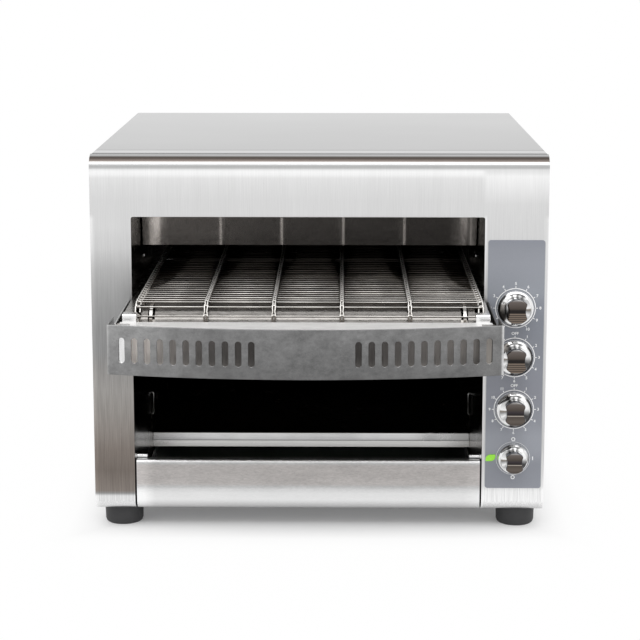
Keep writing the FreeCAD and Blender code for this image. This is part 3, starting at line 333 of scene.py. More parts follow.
def chamber_steel(name, low, high, roughness):
    """Heat-tinted sheet inside the chamber."""
    s = metal(name, roughness)
    cloud = s.noise((14, 14, 14), 5.0, 0.6)
    fine = s.noise((300, 20, 300), 4.0, 0.6)
    tone = s.varied(cloud, low, high)
    s.colour(s.times(tone, s.varied(fine, 0.85, 1.12)))
    s.rough(s.span(cloud, 0.3, 0.7, roughness - 0.05, roughness + 0.1))
    s.bump(fine, 0.02)
    return s.material


def baffle_steel():
    """Dark, mirror-like sheet; the bright streaks in line with the belt's joints and the paler bands at its two ends
    are painted reflections of the belt.
    """
    s = metal("baffle_steel", 0.12)
    # painted reflections of the belt: pale bands near both ends and bright streaks in line with the joints
    left = ((-191.5, 0.2), (-186, 0.26), (-183, 0.6), (-174, 0.66), (-171, 0.3), (-162, 0.2), (-130, 0.19),
            (-108.9, 0.18), (-108, 0.5), (-106.2, 0.5), (-105.4, 0.17), (-60, 0.125), (-43, 0.125), (-42.2, 0.5),
            (-40.4, 0.5), (-39.6, 0.12), (0, 0.11))
    right = ((0, 0.11), (23.5, 0.105), (24.3, 0.46), (26.1, 0.46), (26.9, 0.1), (89.2, 0.09), (90, 0.46),
             (91.8, 0.46), (92.6, 0.085), (138, 0.085), (148, 0.18), (152, 0.34), (157, 0.4), (159, 0.15), (161, 0.15),
             (162, 0.4), (164, 0.26), (168.5, 0.22))
    halves = []
    for stops in (left, right):
        halves.append(s.profile("X", tuple((x, (tone, tone * 0.95, tone * 0.92)) for x, tone in stops)))
    base = s.mix(s.step("X", -0.5, 0.5), halves[0], halves[1])
    fine = s.noise((700, 700, 6), 3.0, 0.6)
    s.colour(s.times(base, s.varied(fine, 0.8, 1.16)))
    return s.finish(fine, 0.08, 0.18, 0.01)


def lining_steel():
    """Sheet put behind the slots of the guard to show painted light and shade through them: pale at the left end,
    brown-grey towards the middle.
    """
    s = Shade("lining_steel", Metallic=0.6, Roughness=0.4)
    places = ((-197, 1.0), (-178, 1.0), (-165, 0.95), (-154, 0.6), (-142, 0.4), (-128, 0.28), (-110, 0.2),
              (-70, 0.13), (0, 0.1), (60, 0.16), (110, 0.3), (140, 0.36), (160, 0.3), (176, 0.26))
    base = s.profile("X", tuple((x, (tone, tone * 0.93, tone * 0.88)) for x, tone in places))
    fine = s.noise((900, 900, 60), 3.0, 0.6)
    s.colour(s.times(base, s.varied(fine, 0.85, 1.12)))
    return s.finish(fine, 0.34, 0.48, 0.01)


def chute_steel():
    """Near-black chute, painted shade of the cavity, with a bright front lip that is darker at its foot with painted
    shade.
    """
    s = metal("chute_steel", 0.2)
    cloud = s.noise((14, 14, 14), 5.0, 0.6)
    fine = s.noise((9, 300, 300), 4.0, 0.6)
    # painted shade: near-black inside the cavity
    dark = s.varied(cloud, *BLACK_TONES)
    # bright front lip, darker at its foot with painted shade
    lip = s.along("Z", 45, 56, display((0.0, 120), (0.2, 200), (0.75, 214), (1.0, 170)))
    near = s.step("Y", 190.5 + FRONT_SHIFT, 188.8 + FRONT_SHIFT)
    tone = s.mix(near, dark, lip)
    s.colour(s.times(tone, s.varied(fine, 0.9, 1.06)))
    s.rough(s.span(cloud, 0.3, 0.7, 0.16, 0.3))
    s.bump(fine, 0.01)
    return s.material


def wire_steel():
    """Drawn wire, each a little different. Painted shade makes it dark below its top, darker far inside the mouth and
    dark low down; painted highlights make the hooks at the joints and the edges the brightest."""
    s = metal("belt_wire", 0.14)
    # painted shade: darker far inside the mouth
    depth = s.profile("Y", ((-90, 0.9), (-60, 0.9), (-30, 0.8), (20, 0.72), (80, 0.55), (140, 0.42), (200, 0.2),
                            (300, 0.1), (400, 0.06)), FRONT_SHIFT)
    each = s.noise((5, 95, 60), 4.0, 0.8)
    tone = s.times(depth, s.ramp(each, ((0.32, 0.32), (0.5, 0.8), (0.66, 1.45))))
    places = [(BELT_LEFT - 1.5, 1.0), (BELT_LEFT + 5, 1.0), (BELT_LEFT + 6, 0.0)]
    for x in JOINTS:
        places += [(x - 2.6, 0.0), (x - 2.2, 1.0), (x + 2.2, 1.0), (x + 2.6, 0.0)]
    places += [(BELT_RIGHT - 6, 0.0), (BELT_RIGHT - 5, 1.0), (BELT_RIGHT + 1.5, 1.0)]
    hooks = s.profile("X", places)
    # painted highlight on the hooks at the joints and edges, weaker further in
    hook_highlight = s.along("Y", -90 + FRONT_SHIFT, 400 + FRONT_SHIFT,
                    ((0.0, 1.0), (0.3, 1.0), (0.5, 0.8), (0.7, 0.4), (1.0, 0.15)))
    tone = s.mix(hooks, tone, hook_highlight)
    # painted shade below the top of each wire
    tone = s.times(tone, s.ramp(s.facing_up(), ((0.0, (0.2, 0.18, 0.16)), (1.0, 1.0))))
    # painted shade low down
    s.colour(s.times(tone, s.along("Z", 222, 238, ((0.0, (0.12, 0.11, 0.1)), (1.0, (1.0, 0.98, 0.95))))))
    s.rough(s.span(hooks, 0.0, 1.0, 0.14, 0.55))
    s.bump(s.noise((500, 500, 500)), 0.01)
    return s.material


def sooted(name, low, high, roughness, stops, shade_heights=(236, 249)):
    """Bright metal whose tone follows the depth from the mouth and that is dark low down, both painted shade."""
    s = metal(name, roughness)
    fine = s.noise((90, 300, 500), 4.0, 0.6)
    tone = s.varied(fine, low, high)
    # painted shade: tone by depth from the mouth
    tone = s.times(tone, s.profile("Y", stops, FRONT_SHIFT))
    # painted shade: dark below the given heights
    s.colour(s.times(tone, s.along("Z", *shade_heights, ((0.0, (0.09, 0.08, 0.07)), (1.0, 1.0)))))
    return s.finish(fine, roughness - 0.04, roughness + 0.08, 0.01)


def bright_metal(name, low, high, roughness, grain=(600, 600, 600)):
    """Plain metal with a fine grain."""
    s = metal(name, roughness)
    fine = s.noise(grain, 3.0, 0.6)
    s.colour(s.varied(fine, low, high))
    return s.finish(fine, max(roughness - 0.05, 0.04), roughness + 0.08, 0.01)


def satin(name, low, high, roughness, metallic):
    """Dull bright sheet that also scatters light."""
    s = Shade(name, Metallic=metallic, Roughness=roughness)
    fine = s.noise((50, 300, 300), 3.0, 0.6)
    s.colour(s.varied(fine, low, high))
    return s.finish(fine, roughness - 0.05, roughness + 0.08, 0.01)


def label_film():
    """Blue-grey film with slow changes of tone from top to bottom."""
    s = Shade("label_film", Roughness=0.38, Specular_IOR_Level=0.4)
    base = s.profile("Z", display(
        (46.5, (144, 147, 155)), (60, (141, 144, 152)), (72, (139, 142, 150)), (88, (153, 156, 164)),
        (102, (153, 156, 164)), (117, (143, 146, 154)), (140, (138, 140, 149)), (180, (133, 136, 144)),
        (225, (130, 134, 143)), (242, (134, 138, 147)), (255, (147, 151, 159)), (285, (149, 152, 160)),
        (300, (144, 147, 155)), (309.7, (138, 141, 150))))
    fine = s.noise((900, 900, 900), 3.0, 0.6)
    s.colour(s.times(base, s.varied(fine, 0.96, 1.04)))
    return s.finish(fine, 0.34, 0.46, 0.01)


def knob_chrome(name, z, radius, ring, face, hand=1):
    """Chrome of one knob, with painted reflections: bands round the skirt by angle from the top, and a darker banded
    grip face. The ring is the skirt's outer bevel."""
    s = metal(name, 0.1)
    u = s.math("MULTIPLY", s.math("SUBTRACT", s.axis("X"), KNOB_X * MM), hand)
    v = s.math("SUBTRACT", s.axis("Z"), z * MM)
    reach = s.math("SQRT", s.math("ADD", s.math("MULTIPLY", u, u), s.math("MULTIPLY", v, v)), 0.0)
    turn = s.span(s.math("ARCTAN2", u, v), -math.pi, math.pi)
    # painted reflections: bands round the skirt by angle from the top
    flank_reflection = s.ramp(turn, ((0.0, 0.8), (0.06, 0.5), (0.1, 0.9), (0.14, 0.45), (0.18, 0.85), (0.225, 0.3),
                          (0.25, (0.2, 0.17, 0.14)), (0.27, 0.9), (0.33, 0.62), (0.39, 0.5), (0.43, 0.08),
                          (0.46, 0.5), (0.49, 0.1), (0.52, 0.95), (0.545, 0.12), (0.585, 0.75), (0.64, 0.95),
                          (0.72, 0.9), (0.765, 0.3), (0.81, 0.06), (0.85, 0.08), (0.89, 0.6), (1.0, 0.8)))
    outer = s.ramp(turn, ring)
    arc_reflection = s.ramp(turn, ((0.0, 0.9), (0.1, 0.85), (0.2, 0.4), (0.3, 0.9), (0.38, 0.85), (0.41, 0.06), (0.56, 0.06),
                        (0.6, 0.9), (0.75, 0.7), (0.78, 0.08), (0.86, 0.08), (0.9, 0.9), (1.0, 0.9)))
    skirt = flank_reflection
    for near, far, tone in ((0.79, 0.81, arc_reflection), (0.85, 0.87, outer), (0.965, 0.975, (0.9, 0.9, 0.9))):
        skirt = s.mix(s.span(reach, radius * near * MM, radius * far * MM), skirt, tone)
    # painted reflection bands down the grip face
    front = s.ramp(s.span(v, -radius * 0.68 * MM, radius * 0.68 * MM), face)
    on_grip = s.step("Y", -20.4 + FRONT_SHIFT, -21.3 + FRONT_SHIFT)
    fine = s.noise((900, 900, 900), 2.0, 0.6)
    s.colour(s.times(s.mix(on_grip, skirt, front), s.varied(fine, 0.94, 1.03)))
    s.rough(s.span(fine, 0.2, 0.8, 0.07, 0.14))
    return s.material


def moulded(name, low, high, roughness, scale=700, depth=0.03):
    """Moulded plastic, rubber or ceramic with a fine grain."""
    s = Shade(name, Roughness=roughness)
    fine = s.noise((scale,) * 3, 4.0, 0.6)
    slow = s.noise((25, 25, 25), 2.0)
    s.colour(s.mix(0.5, s.varied(fine, low, high), s.varied(slow, low, high)))
    return s.finish(fine, roughness - 0.08, roughness + 0.08, depth)


def quartz():
    s = Shade("quartz", Roughness=0.25, Transmission_Weight=0.5, IOR=1.46)
    fine = s.noise((60, 400, 400), 3.0)
    s.colour(s.varied(fine, (0.55, 0.52, 0.48), (0.8, 0.78, 0.74)))
    s.rough(s.span(fine, 0.2, 0.8, 0.18, 0.4))
    return s.material


def lens():
    s = Shade("lens_green", Roughness=0.18, Emission_Strength=0.25, Transmission_Weight=0.15)
    fine = s.noise((500, 500, 500), 2.0)
    tone = s.varied(fine, (0.24, 0.66, 0.03), (0.36, 0.8, 0.06))
    s.colour(tone)
    s.link(tone, s.shader.inputs["Emission Color"])
    return s.material


def print_white():
    s = Shade("print_white", Roughness=0.5)
    fine = s.noise((1500, 1500, 1500), 2.0)
    s.colour(s.varied(fine, 0.93, 0.98))
    return s.material


STEEL = front_steel()
COVER = cover_steel()
SIDE = side_steel()
GUARD = guard_steel()
TRAY = tray_steel()
CHAMBER = chamber_steel("chamber_steel", (0.07, 0.063, 0.056), (0.15, 0.135, 0.12), 0.2)
# near-black sheet for the rear deflector
NEAR_BLACK_STEEL = chamber_steel("near_black_steel", *BLACK_TONES, 0.2)
CHUTE = chute_steel()
LEDGE = bright_metal("ledge_steel", (0.6, 0.59, 0.58), (0.76, 0.75, 0.74), 0.2, (12, 400, 400))
SLOT_SHADE = lining_steel()
BAFFLE = baffle_steel()
REFLECTOR = chamber_steel("reflector_sheet", (0.2, 0.185, 0.17), (0.34, 0.32, 0.29), 0.28)
PAN = chamber_steel("pan_steel", (0.4, 0.4, 0.41), (0.52, 0.52, 0.53), 0.38)
# painted shade on these: darker deeper in the mouth and dark below the given heights
UNDER_BELT = sooted("under_belt_sheet", (0.2, 0.18, 0.16), (0.36, 0.325, 0.29), 0.3,
                    ((-90, 0.9), (30, 0.8), (90, 0.4), (200, 0.16), (400, 0.1)), (200, 214))
NOSE = sooted("nose_steel", (0.2, 0.19, 0.18), (0.34, 0.325, 0.31), 0.26,
              ((-90, 0.9), (-60, 1.0), (60, 0.8)), (226, 236))
WIRE_METAL = wire_steel()
BRIGHT = bright_metal("bright_bar", (0.66, 0.66, 0.66), (0.84, 0.84, 0.84), 0.2)
BEARING = sooted("bearing_steel", (0.78, 0.78, 0.78), (0.92, 0.92, 0.92), 0.2, ((-110, 1.0), (-50, 1.0)), (238, 245))
RAIL = sooted("rail_steel", (0.6, 0.58, 0.56), (0.8, 0.78, 0.75), 0.24,
              ((-90, 1.0), (0, 0.7), (120, 0.4), (400, 0.2)), (240, 246.2))
ARM = bright_metal("arm_steel", (0.72, 0.72, 0.72), (0.86, 0.86, 0.86), 0.24, (600, 600, 30))
SHELF = satin("shelf_steel", (0.84, 0.83, 0.82), (0.94, 0.93, 0.92), 0.35, 0.3)
# painted shade: the right guard arm is dark, where the left arm has the same grain in bright tones
SHADED_RIGHT_ARM = bright_metal("right_arm_shaded_steel", (0.2, 0.185, 0.17), (0.3, 0.28, 0.26), 0.3, (600, 600, 30))
# painted reflection bands for the knobs: the first three go round a skirt, the last two down a grip face, in these
# tones
RIM_REFLECTION_DARK_RIGHT = ((0.0, 0.05), (0.03, 0.06), (0.06, 0.7), (0.12, 0.85), (0.4, 0.8), (0.5, 0.75), (0.6, 0.6),
              (0.64, 0.07), (0.8, 0.035), (1.0, 0.05))
RIM_REFLECTION_DARK_SIDE = ((0.0, 0.9), (0.03, 0.06), (0.06, 0.9), (0.4, 0.85), (0.5, 0.95), (0.58, 0.8), (0.61, 0.07),
             (0.86, 0.035), (0.9, 0.3), (0.94, 0.6), (1.0, 0.9))
RIM_REFLECTION_BRIGHT = ((0.0, 0.95), (0.25, 0.85), (0.35, 0.9), (0.45, 0.2), (0.52, 0.9), (0.57, 0.2), (0.65, 0.9),
              (0.75, 0.3), (0.8, 0.85), (1.0, 0.95))
REFLECTED_BROWN, REFLECTED_DEEP, REFLECTED_PALE_LINE = (0.08, 0.067, 0.058), (0.025, 0.022, 0.021), (0.25, 0.2, 0.16)
STRIPED_FACE_REFLECTION = ((0.0, 0.5), (0.05, REFLECTED_BROWN), (0.09, REFLECTED_PALE_LINE), (0.12, REFLECTED_DEEP), (0.17, REFLECTED_PALE_LINE), (0.2, REFLECTED_DEEP),
           (0.25, REFLECTED_PALE_LINE), (0.28, REFLECTED_DEEP), (0.33, REFLECTED_PALE_LINE), (0.36, REFLECTED_DEEP), (0.42, REFLECTED_PALE_LINE), (0.45, REFLECTED_DEEP),
           (0.56, REFLECTED_DEEP), (0.64, REFLECTED_BROWN), (0.9, (0.14, 0.12, 0.11)), (1.0, 0.4))
PLAIN_FACE_REFLECTION = ((0.0, 0.5), (0.05, REFLECTED_BROWN), (0.2, (0.13, 0.11, 0.095)), (0.4, REFLECTED_BROWN), (0.43, (0.5, 0.45, 0.4)),
         (0.46, REFLECTED_DEEP), (0.58, (0.05, 0.043, 0.047)), (0.68, REFLECTED_BROWN), (0.9, (0.14, 0.12, 0.11)), (1.0, 0.4))
KNOB_LOOKS = {
    "speed": knob_chrome("knob_chrome_speed", *KNOBS["speed"], RIM_REFLECTION_DARK_SIDE, STRIPED_FACE_REFLECTION, -1),
    "top_heat": knob_chrome("knob_chrome_top", *KNOBS["top_heat"], RIM_REFLECTION_DARK_RIGHT, STRIPED_FACE_REFLECTION),
    "bottom_heat": knob_chrome("knob_chrome_bottom", *KNOBS["bottom_heat"], RIM_REFLECTION_DARK_RIGHT, PLAIN_FACE_REFLECTION),
    "power": knob_chrome("knob_chrome_power", *KNOBS["power"], RIM_REFLECTION_BRIGHT, PLAIN_FACE_REFLECTION),
}
LABEL = label_film()
PRINT = print_white()
LENS = lens()
RUBBER = moulded("foot_rubber", (0.025, 0.025, 0.026), (0.05, 0.05, 0.052), 0.62, 900, 0.06)
CERAMIC = moulded("ceramic", (0.62, 0.6, 0.55), (0.78, 0.76, 0.7), 0.6)
PLASTIC = moulded("control_plastic", (0.03, 0.03, 0.032), (0.06, 0.06, 0.062), 0.45)
CAST = bright_metal("gearbox_casting", (0.3, 0.3, 0.31), (0.42, 0.42, 0.43), 0.45, (500, 500, 500))
QUARTZ = quartz()

LOOKS = (
    (STEEL, "front_panel"), (COVER, "top_cover"), (SIDE, "left_side_panel right_side_panel back_panel"),
    (PAN, "base_pan"), (GUARD, "burn_guard"), (ARM, "guard_left_arm"), (SHADED_RIGHT_ARM, "guard_right_arm"),
    (SHELF, "guard_shelf"), (TRAY, "crumb_tray"), (CHAMBER, "chamber_left_wall chamber_right_wall"),
    (REFLECTOR, "chamber_roof"), (BAFFLE, "air_baffle"), (UNDER_BELT, "lower_reflector belt_support_bars cross_rods"),
    (RAIL, "conveyor_left_rail conveyor_right_rail rail_caps"), (NOSE, "nose_plate"), (CHUTE, "discharge_chute"),
    (LEDGE, "chute_support"), (NEAR_BLACK_STEEL, "rear_deflector"), (BEARING, "front_bearings"),
    (WIRE_METAL, "belt_top_run belt_front_turn belt_rear_turn belt_bottom_run front_shaft front_rollers"),
    (BRIGHT, "drive_shaft tray_pins rear_sprockets rear_bearings"), (LABEL, "control_label"),
    (LENS, "indicator_lens"), (CERAMIC, "heater_end_caps"), (QUARTZ, "upper_heater_tubes lower_heater_tubes"),
    (RUBBER, "foot_front_left foot_front_right foot_rear_left foot_rear_right inlet_bush"),
    (PLASTIC, "speed_control top_heat_control bottom_heat_control power_switch terminal_block fan_housing fan_rotor"),
    (CAST, "gearbox drive_motor"), *((look, knob_name + "_knob") for knob_name, look in KNOB_LOOKS.items()),
)
look_of = {node_name: look for look, node_names in LOOKS for node_name in node_names.split()}
for node_name, node_object in nodes.items():
    look = look_of[node_name]
    if not node_object.material_slots:
        node_object.data.materials.append(look)
    for material_slot in node_object.material_slots:
        material_slot.material = look

# ---- mesh helpers


def piece(name, mesh, look, replaced=(), body="cabinet"):
    """A finished object that rides on a body, stands for CAD nodes and takes its finish from a slot."""
    thing = bpy.data.objects.new(name, mesh)
    show(thing)
    mesh.materials.clear()
    mesh.materials.append(look)
    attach(thing, body)
    if replaced:
        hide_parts(*replaced)


def smooth(mesh, degrees):
    mesh.polygons.foreach_set("use_smooth", [True] * len(mesh.polygons))
    mesh.set_sharp_from_angle(angle=math.radians(degrees))
    mesh.update()


def joined(meshes, degrees):
    """One mesh from several, smoothed below an angle."""
    both = bmesh.new()
    for mesh in meshes:
        both.from_mesh(mesh)
        bpy.data.meshes.remove(mesh)
    result = bpy.data.meshes.new("joined")
    both.to_mesh(result)
    both.free()
    smooth(result, degrees)
    return result


def poly_line(curve, points, closed=False):
    """Straight-sided line through points."""
    spline = curve.splines.new("POLY")
    spline.points.add(len(points) - 1)
    for point, place in zip(spline.points, points):
        point.co = (*place, 1)
    spline.use_cyclic_u = closed


def mesh_of(curve):
    """Mesh of a curve, which is then removed."""
    holder = bpy.data.objects.new("holder", curve)
    mesh = bpy.data.meshes.new_from_object(holder)
    bpy.data.objects.remove(holder)
    bpy.data.curves.remove(curve)
    return mesh


def flat_plate(outlines, thickness, edge):
    """Mesh of a flat plate with broken edges: the first outline is its rim, the others are holes. In millimetres."""
    curve = bpy.data.curves.new("outline", "CURVE")
    curve.dimensions = "2D"
    curve.fill_mode = "BOTH"
    curve.extrude = thickness / 2 - edge
    curve.bevel_depth = edge
    curve.bevel_resolution = 1
    curve.offset = -edge
    for outline in outlines:
        poly_line(curve, [(u, v, 0) for u, v in outline], True)
    return mesh_of(curve)


def rounded_path(points, bends, step=0.12):
    """Dense line through points with round bends: a list of (distance, point)."""
    points = [Vector(p) for p in points]
    line = [points[0]]
    for i in range(1, len(points) - 1):
        before = (points[i] - points[i - 1]).normalized()
        after = (points[i + 1] - points[i]).normalized()
        turn = -before.angle_signed(after)
        radius = bends[i - 1]
        reach = radius * math.tan(abs(turn) / 2)
        start = points[i] - before * reach
        side = math.copysign(1, turn)
        centre = start + Vector((-before.y, before.x)) * radius * side
        count = max(2, math.ceil(abs(turn) / step))
        for k in range(count + 1):
            spoke = start - centre
            spoke.rotate(Matrix.Rotation(turn * k / count, 2))
            line.append(centre + spoke)
    line.append(points[-1])
    distance = 0.0
    path = [(0.0, line[0])]
    for p, q in zip(line, line[1:]):
        distance += (q - p).length
        if (q - p).length > 1e-6:
            path.append((distance, q))
    return path


def distance_at(path, axis, value, low):
    """Distance along a path at which one coordinate passes a value."""
    for (d0, p), (d1, q) in zip(path[low:], path[low + 1:]):
        if min(p[axis], q[axis]) <= value <= max(p[axis], q[axis]) and abs(q[axis] - p[axis]) > 1e-9:
            return d0 + (d1 - d0) * (value - p[axis]) / (q[axis] - p[axis])
    raise ValueError(value)


def bent(outlines, thickness, path, place, side, edge):
    """Sheet cut flat to outlines of (distance, width), then bent along a path. Its material lies on one side of
    the path: 1 is the left. place turns a point of the path's plane and a width into a place in the model."""
    mesh = flat_plate(outlines, thickness, edge)
    work = bmesh.new()
    work.from_mesh(mesh)
    for d, p in path[1:-1]:
        parts = work.verts[:] + work.edges[:] + work.faces[:]
        bmesh.ops.bisect_plane(work, geom=parts, plane_co=(d, 0, 0), plane_no=(1, 0, 0), dist=1e-4)
    spokes = []
    for i, (d, p) in enumerate(path):
        before = (p - path[i - 1][1]).normalized() if i else None
        after = (path[i + 1][1] - p).normalized() if i < len(path) - 1 else None
        ahead = ((before or after) + (after or before)).normalized()
        stretch = 1 / max(ahead.dot(before or after), 0.5)
        spokes.append(Vector((-ahead.y, ahead.x)) * side * stretch)
    for vert in work.verts:
        u, width, depth = vert.co.x, vert.co.y, thickness / 2 - vert.co.z
        i = 0
        while i < len(path) - 2 and u > path[i + 1][0]:
            i += 1
        share = (u - path[i][0]) / (path[i + 1][0] - path[i][0])
        spot = path[i][1].lerp(path[i + 1][1], share) + spokes[i].lerp(spokes[i + 1], share) * depth
        vert.co = place(spot, width)
    work.to_mesh(mesh)
    work.free()
    return mesh


def strip(path, low, high):
    """Rim of a sheet as long as a path, between two widths."""
    end = path[-1][0]
    return [(0, low), (end, low), (end, high), (0, high)]


def side_wall(rim, x, thickness):
    """Flat wall drawn side on, with its left face at x."""
    wall = flat_plate([rim], thickness, 0.2)
    for vert in wall.vertices:
        vert.co = at(x + thickness / 2 + vert.co.z, vert.co.x, vert.co.y)
    return wall


def fix_normals(mesh):
    """Faces turned outwards."""
    work = bmesh.new()
    work.from_mesh(mesh)
    bmesh.ops.recalc_face_normals(work, faces=work.faces[:])
    work.to_mesh(mesh)
    work.free()
    return mesh


def upright(spot, width):
    """Path drawn side on, width along x."""
    return at(width, spot.x, spot.y)


def level(spot, width):
    """Path drawn from above, width upwards."""
    return at(spot.x, spot.y, width)


def lathe(profile, start, axis, segments):
    """Turned mesh: profile of (distance along the axis, radius) in millimetres."""
    work = bmesh.new()
    axis = Vector(axis).normalized()
    across = axis.orthogonal().normalized()
    third = axis.cross(across)
    rings = []
    for reach, radius in profile:
        if radius < 1e-6:
            rings.append([work.verts.new(start + axis * reach * MM)])
            continue
        ring = []
        for i in range(segments):
            angle = 2 * math.pi * i / segments
            spoke = across * math.cos(angle) + third * math.sin(angle)
            ring.append(work.verts.new(start + axis * reach * MM + spoke * radius * MM))
        rings.append(ring)
    for low, high in zip(rings, rings[1:]):
        for i in range(segments):
            corners = [low[i % len(low)], low[(i + 1) % len(low)], high[(i + 1) % len(high)], high[i % len(high)]]
            corners = list(dict.fromkeys(corners))
            if len(corners) > 2:
                work.faces.new(corners)
    bmesh.ops.recalc_face_normals(work, faces=work.faces[:])
    mesh = bpy.data.meshes.new("turned")
    work.to_mesh(mesh)
    work.free()
    return mesh


# ---- camera, light and floor

camera_data = bpy.data.cameras.new("camera")
camera_data.sensor_width = 36.0
camera_data.lens = 104.136  # fitted to the photo, as are the place, the shift and the turn
camera_data.shift_y = -0.12
camera = bpy.data.objects.new("camera", camera_data)
camera.location = (0.0217, -2.0337, 0.6175)
camera.rotation_euler = (math.pi / 2 - 0.164735, 0.0, 0.0110465)
show(camera)
scene.camera = camera
scene.view_settings.view_transform = "Standard"


def sun(name, strength, towards, spread):
    data = bpy.data.lights.new(name, "SUN")
    data.energy = strength
    data.angle = math.radians(spread)
    lamp = bpy.data.objects.new(name, data)
    lamp.rotation_euler = Vector(towards).to_track_quat("-Z", "Y").to_euler()
    show(lamp)


DIFFUSE_LEVEL = 0.68
sun("key", 0.9, (0.45, 0.75, -1.3), 50)
sun("fill", 0.6, (-0.5, 0.6, -1.0), 60)
sun("back", 0.12, (0.1, -0.8, -1.2), 60)



def seen_directly(tree):
    """One on rays from the camera, a mirror or a clear body, else nought."""
    light_path = tree.nodes.new("ShaderNodeLightPath")
    total = light_path.outputs["Is Camera Ray"]
    for ray in ("Is Glossy Ray", "Is Transmission Ray"):
        either = tree.nodes.new("ShaderNodeMath")
        either.operation = "MAXIMUM"
        tree.links.new(total, either.inputs[0])
        tree.links.new(light_path.outputs[ray], either.inputs[1])
        total = either.outputs[0]
    return total


world = bpy.data.worlds.new("studio")
world.use_nodes = True
scene.world = world
sky = world.node_tree
background = sky.nodes["Background"]
level_node = sky.nodes.new("ShaderNodeMapRange")
level_node.inputs["To Min"].default_value = DIFFUSE_LEVEL
level_node.inputs["To Max"].default_value = 1.0
sky.links.new(seen_directly(sky), level_node.inputs["Value"])
sky.links.new(level_node.outputs["Result"], background.inputs["Strength"])
background.inputs["Color"].default_value = (1, 1, 1, 1)

floor_mesh = bpy.data.meshes.new("floor")
floor_mesh.from_pydata([(-6, -4, 0), (6, -4, 0), (6, 9, 0), (-6, 9, 0)], [], [(0, 1, 2, 3)])
floor = bpy.data.objects.new("floor", floor_mesh)
show(floor)
ground = Shade("floor_pale", Roughness=0.8, Specular_IOR_Level=0.1)
ground.colour(ground.ramp(ground.noise((5, 5, 5)), ((0.3, 0.93), (0.7, 0.95))))
BODY_MIDDLE, BODY_HALF_DEPTH = 0.0695, 0.23


def beyond(axis, middle, half):
    """How far outside the body's sides a place on the floor lies."""
    offset = ground.math("SUBTRACT", ground.axis(axis), middle)
    return ground.math("SUBTRACT", ground.math("ABSOLUTE", offset, 0.0), half)


away = ground.math("MAXIMUM", beyond("X", 0.0, HALF * MM), beyond("Y", BODY_MIDDLE, BODY_HALF_DEPTH))
pale = ground.ramp(ground.span(away, -0.03, 0.055), ((0.0, 0.12), (0.35, 0.5), (0.7, 0.92), (1.0, 0.99)))
white = ground.add("ShaderNodeEmission")
blend = ground.add("ShaderNodeMixShader")
ground.link(ground.math("MULTIPLY", seen_directly(ground.tree), pale), blend.inputs[0])
ground.link(ground.shader.outputs["BSDF"], blend.inputs[1])
ground.link(white.outputs["Emission"], blend.inputs[2])
ground.link(blend.outputs["Shader"], ground.tree.nodes["Material Output"].inputs["Surface"])
floor_mesh.materials.append(ground.material)

# ---- front sheet and tray


def corner_arc(centre, radius, start, end, count=4):
    return [(centre[0] + radius * math.cos(math.radians(start + (end - start) * i / count)),
             centre[1] + radius * math.sin(math.radians(start + (end - start) * i / count)))
            for i in range(count + 1)]


OPEN_TOP = TOP - 63.5
lip_y = 15.8
panel_path = rounded_path([(lip_y + 12, TOP - 1.4), (lip_y + 1.2, TOP - 1.4), (lip_y - 1.2, TOP), (0, TOP),
                           (0, FLOOR), (45, FLOOR)], [2, 2, PANEL_BEND, LOWER_BEND], 0.09)
panel_end = panel_path[-1][0]
open_at = distance_at(panel_path, 1, OPEN_TOP, 20)
panel_rim = [(0, -HALF), (panel_end, -HALF), (panel_end, LEFT)]
panel_rim += corner_arc((open_at + 2, LEFT + 2), 2, 270, 180) + corner_arc((open_at + 2, RIGHT - 2), 2, 180, 90)
panel_rim += [(panel_end, RIGHT), (panel_end, HALF), (0, HALF)]
panel = bent([panel_rim], SHEET, panel_path, upright, 1, 0.25)
smooth(fix_normals(panel), 25)
piece("front_sheet", panel, STEEL, ("front_panel",))

tray_x0, tray_x1 = LEFT + 1.75, RIGHT - 1.75
tray_path = rounded_path([(10, 76), (0, 76), (0, FLOOR), (29, FLOOR), (38, 23.7), (330, 23.7), (330, 35.7)],
                         [3, LOWER_BEND, 2, 2, 2], 0.1)
tray_parts = [bent([strip(tray_path, tray_x0, tray_x1)], THIN, tray_path, upright, 1, 0.2)]
tray_side = [(40, 23.7), (329.5, 23.7), (329.5, 35.7), (40, 35.7)]
tray_parts += [side_wall(tray_side, x, THIN) for x in (tray_x0, tray_x1 - THIN)]
tray = joined([fix_normals(part) for part in tray_parts], 25)
piece("tray_sheet", tray, TRAY, ("crumb_tray",), "crumb_tray")


def chute_z(f):
    """Height of the sloping chute."""
    return FLOOR + 34 + (f - 188) * 0.05


chute_rear = 439.0
LIP_LEAN, LEDGE_LEAN = 2.4, 3.9
chute_path = rounded_path([(188 - LIP_LEAN, chute_z(188) - 9.5), (188, chute_z(188)),
                           (chute_rear, chute_z(chute_rear)),
                           (chute_rear, chute_z(chute_rear) + 62)], [2, 45], 0.1)
chute_x0, chute_x1 = LEFT + 0.5, RIGHT - 0.5
chute_parts = [bent([strip(chute_path, chute_x0, chute_x1)], SHEET, chute_path, upright, -1, 0.2)]
chute_side = [(190, chute_z(190) - SHEET), (394, chute_z(394) - SHEET), (394, chute_z(394) + 20),
              (210, chute_z(190) + 20)]
chute_parts += [side_wall(chute_side, x, SHEET) for x in (chute_x0, chute_x1 - SHEET)]
piece("chute_sheet", joined([fix_normals(part) for part in chute_parts], 25), CHUTE,
      ("discharge_chute",))

ledge_high = chute_z(189.2) - SHEET - 0.05
ledge_path = rounded_path([(189.2 - LEDGE_LEAN, ledge_high - 15.4), (189.2, ledge_high),
                           (201.2, ledge_high + 0.6)], [2], 0.1)
ledge = bent([strip(ledge_path, LEFT, RIGHT)], SHEET, ledge_path, upright, -1, 0.2)
smooth(fix_normals(ledge), 25)
piece("chute_ledge", ledge, LEDGE, ("chute_support",))

# ---- burn guard

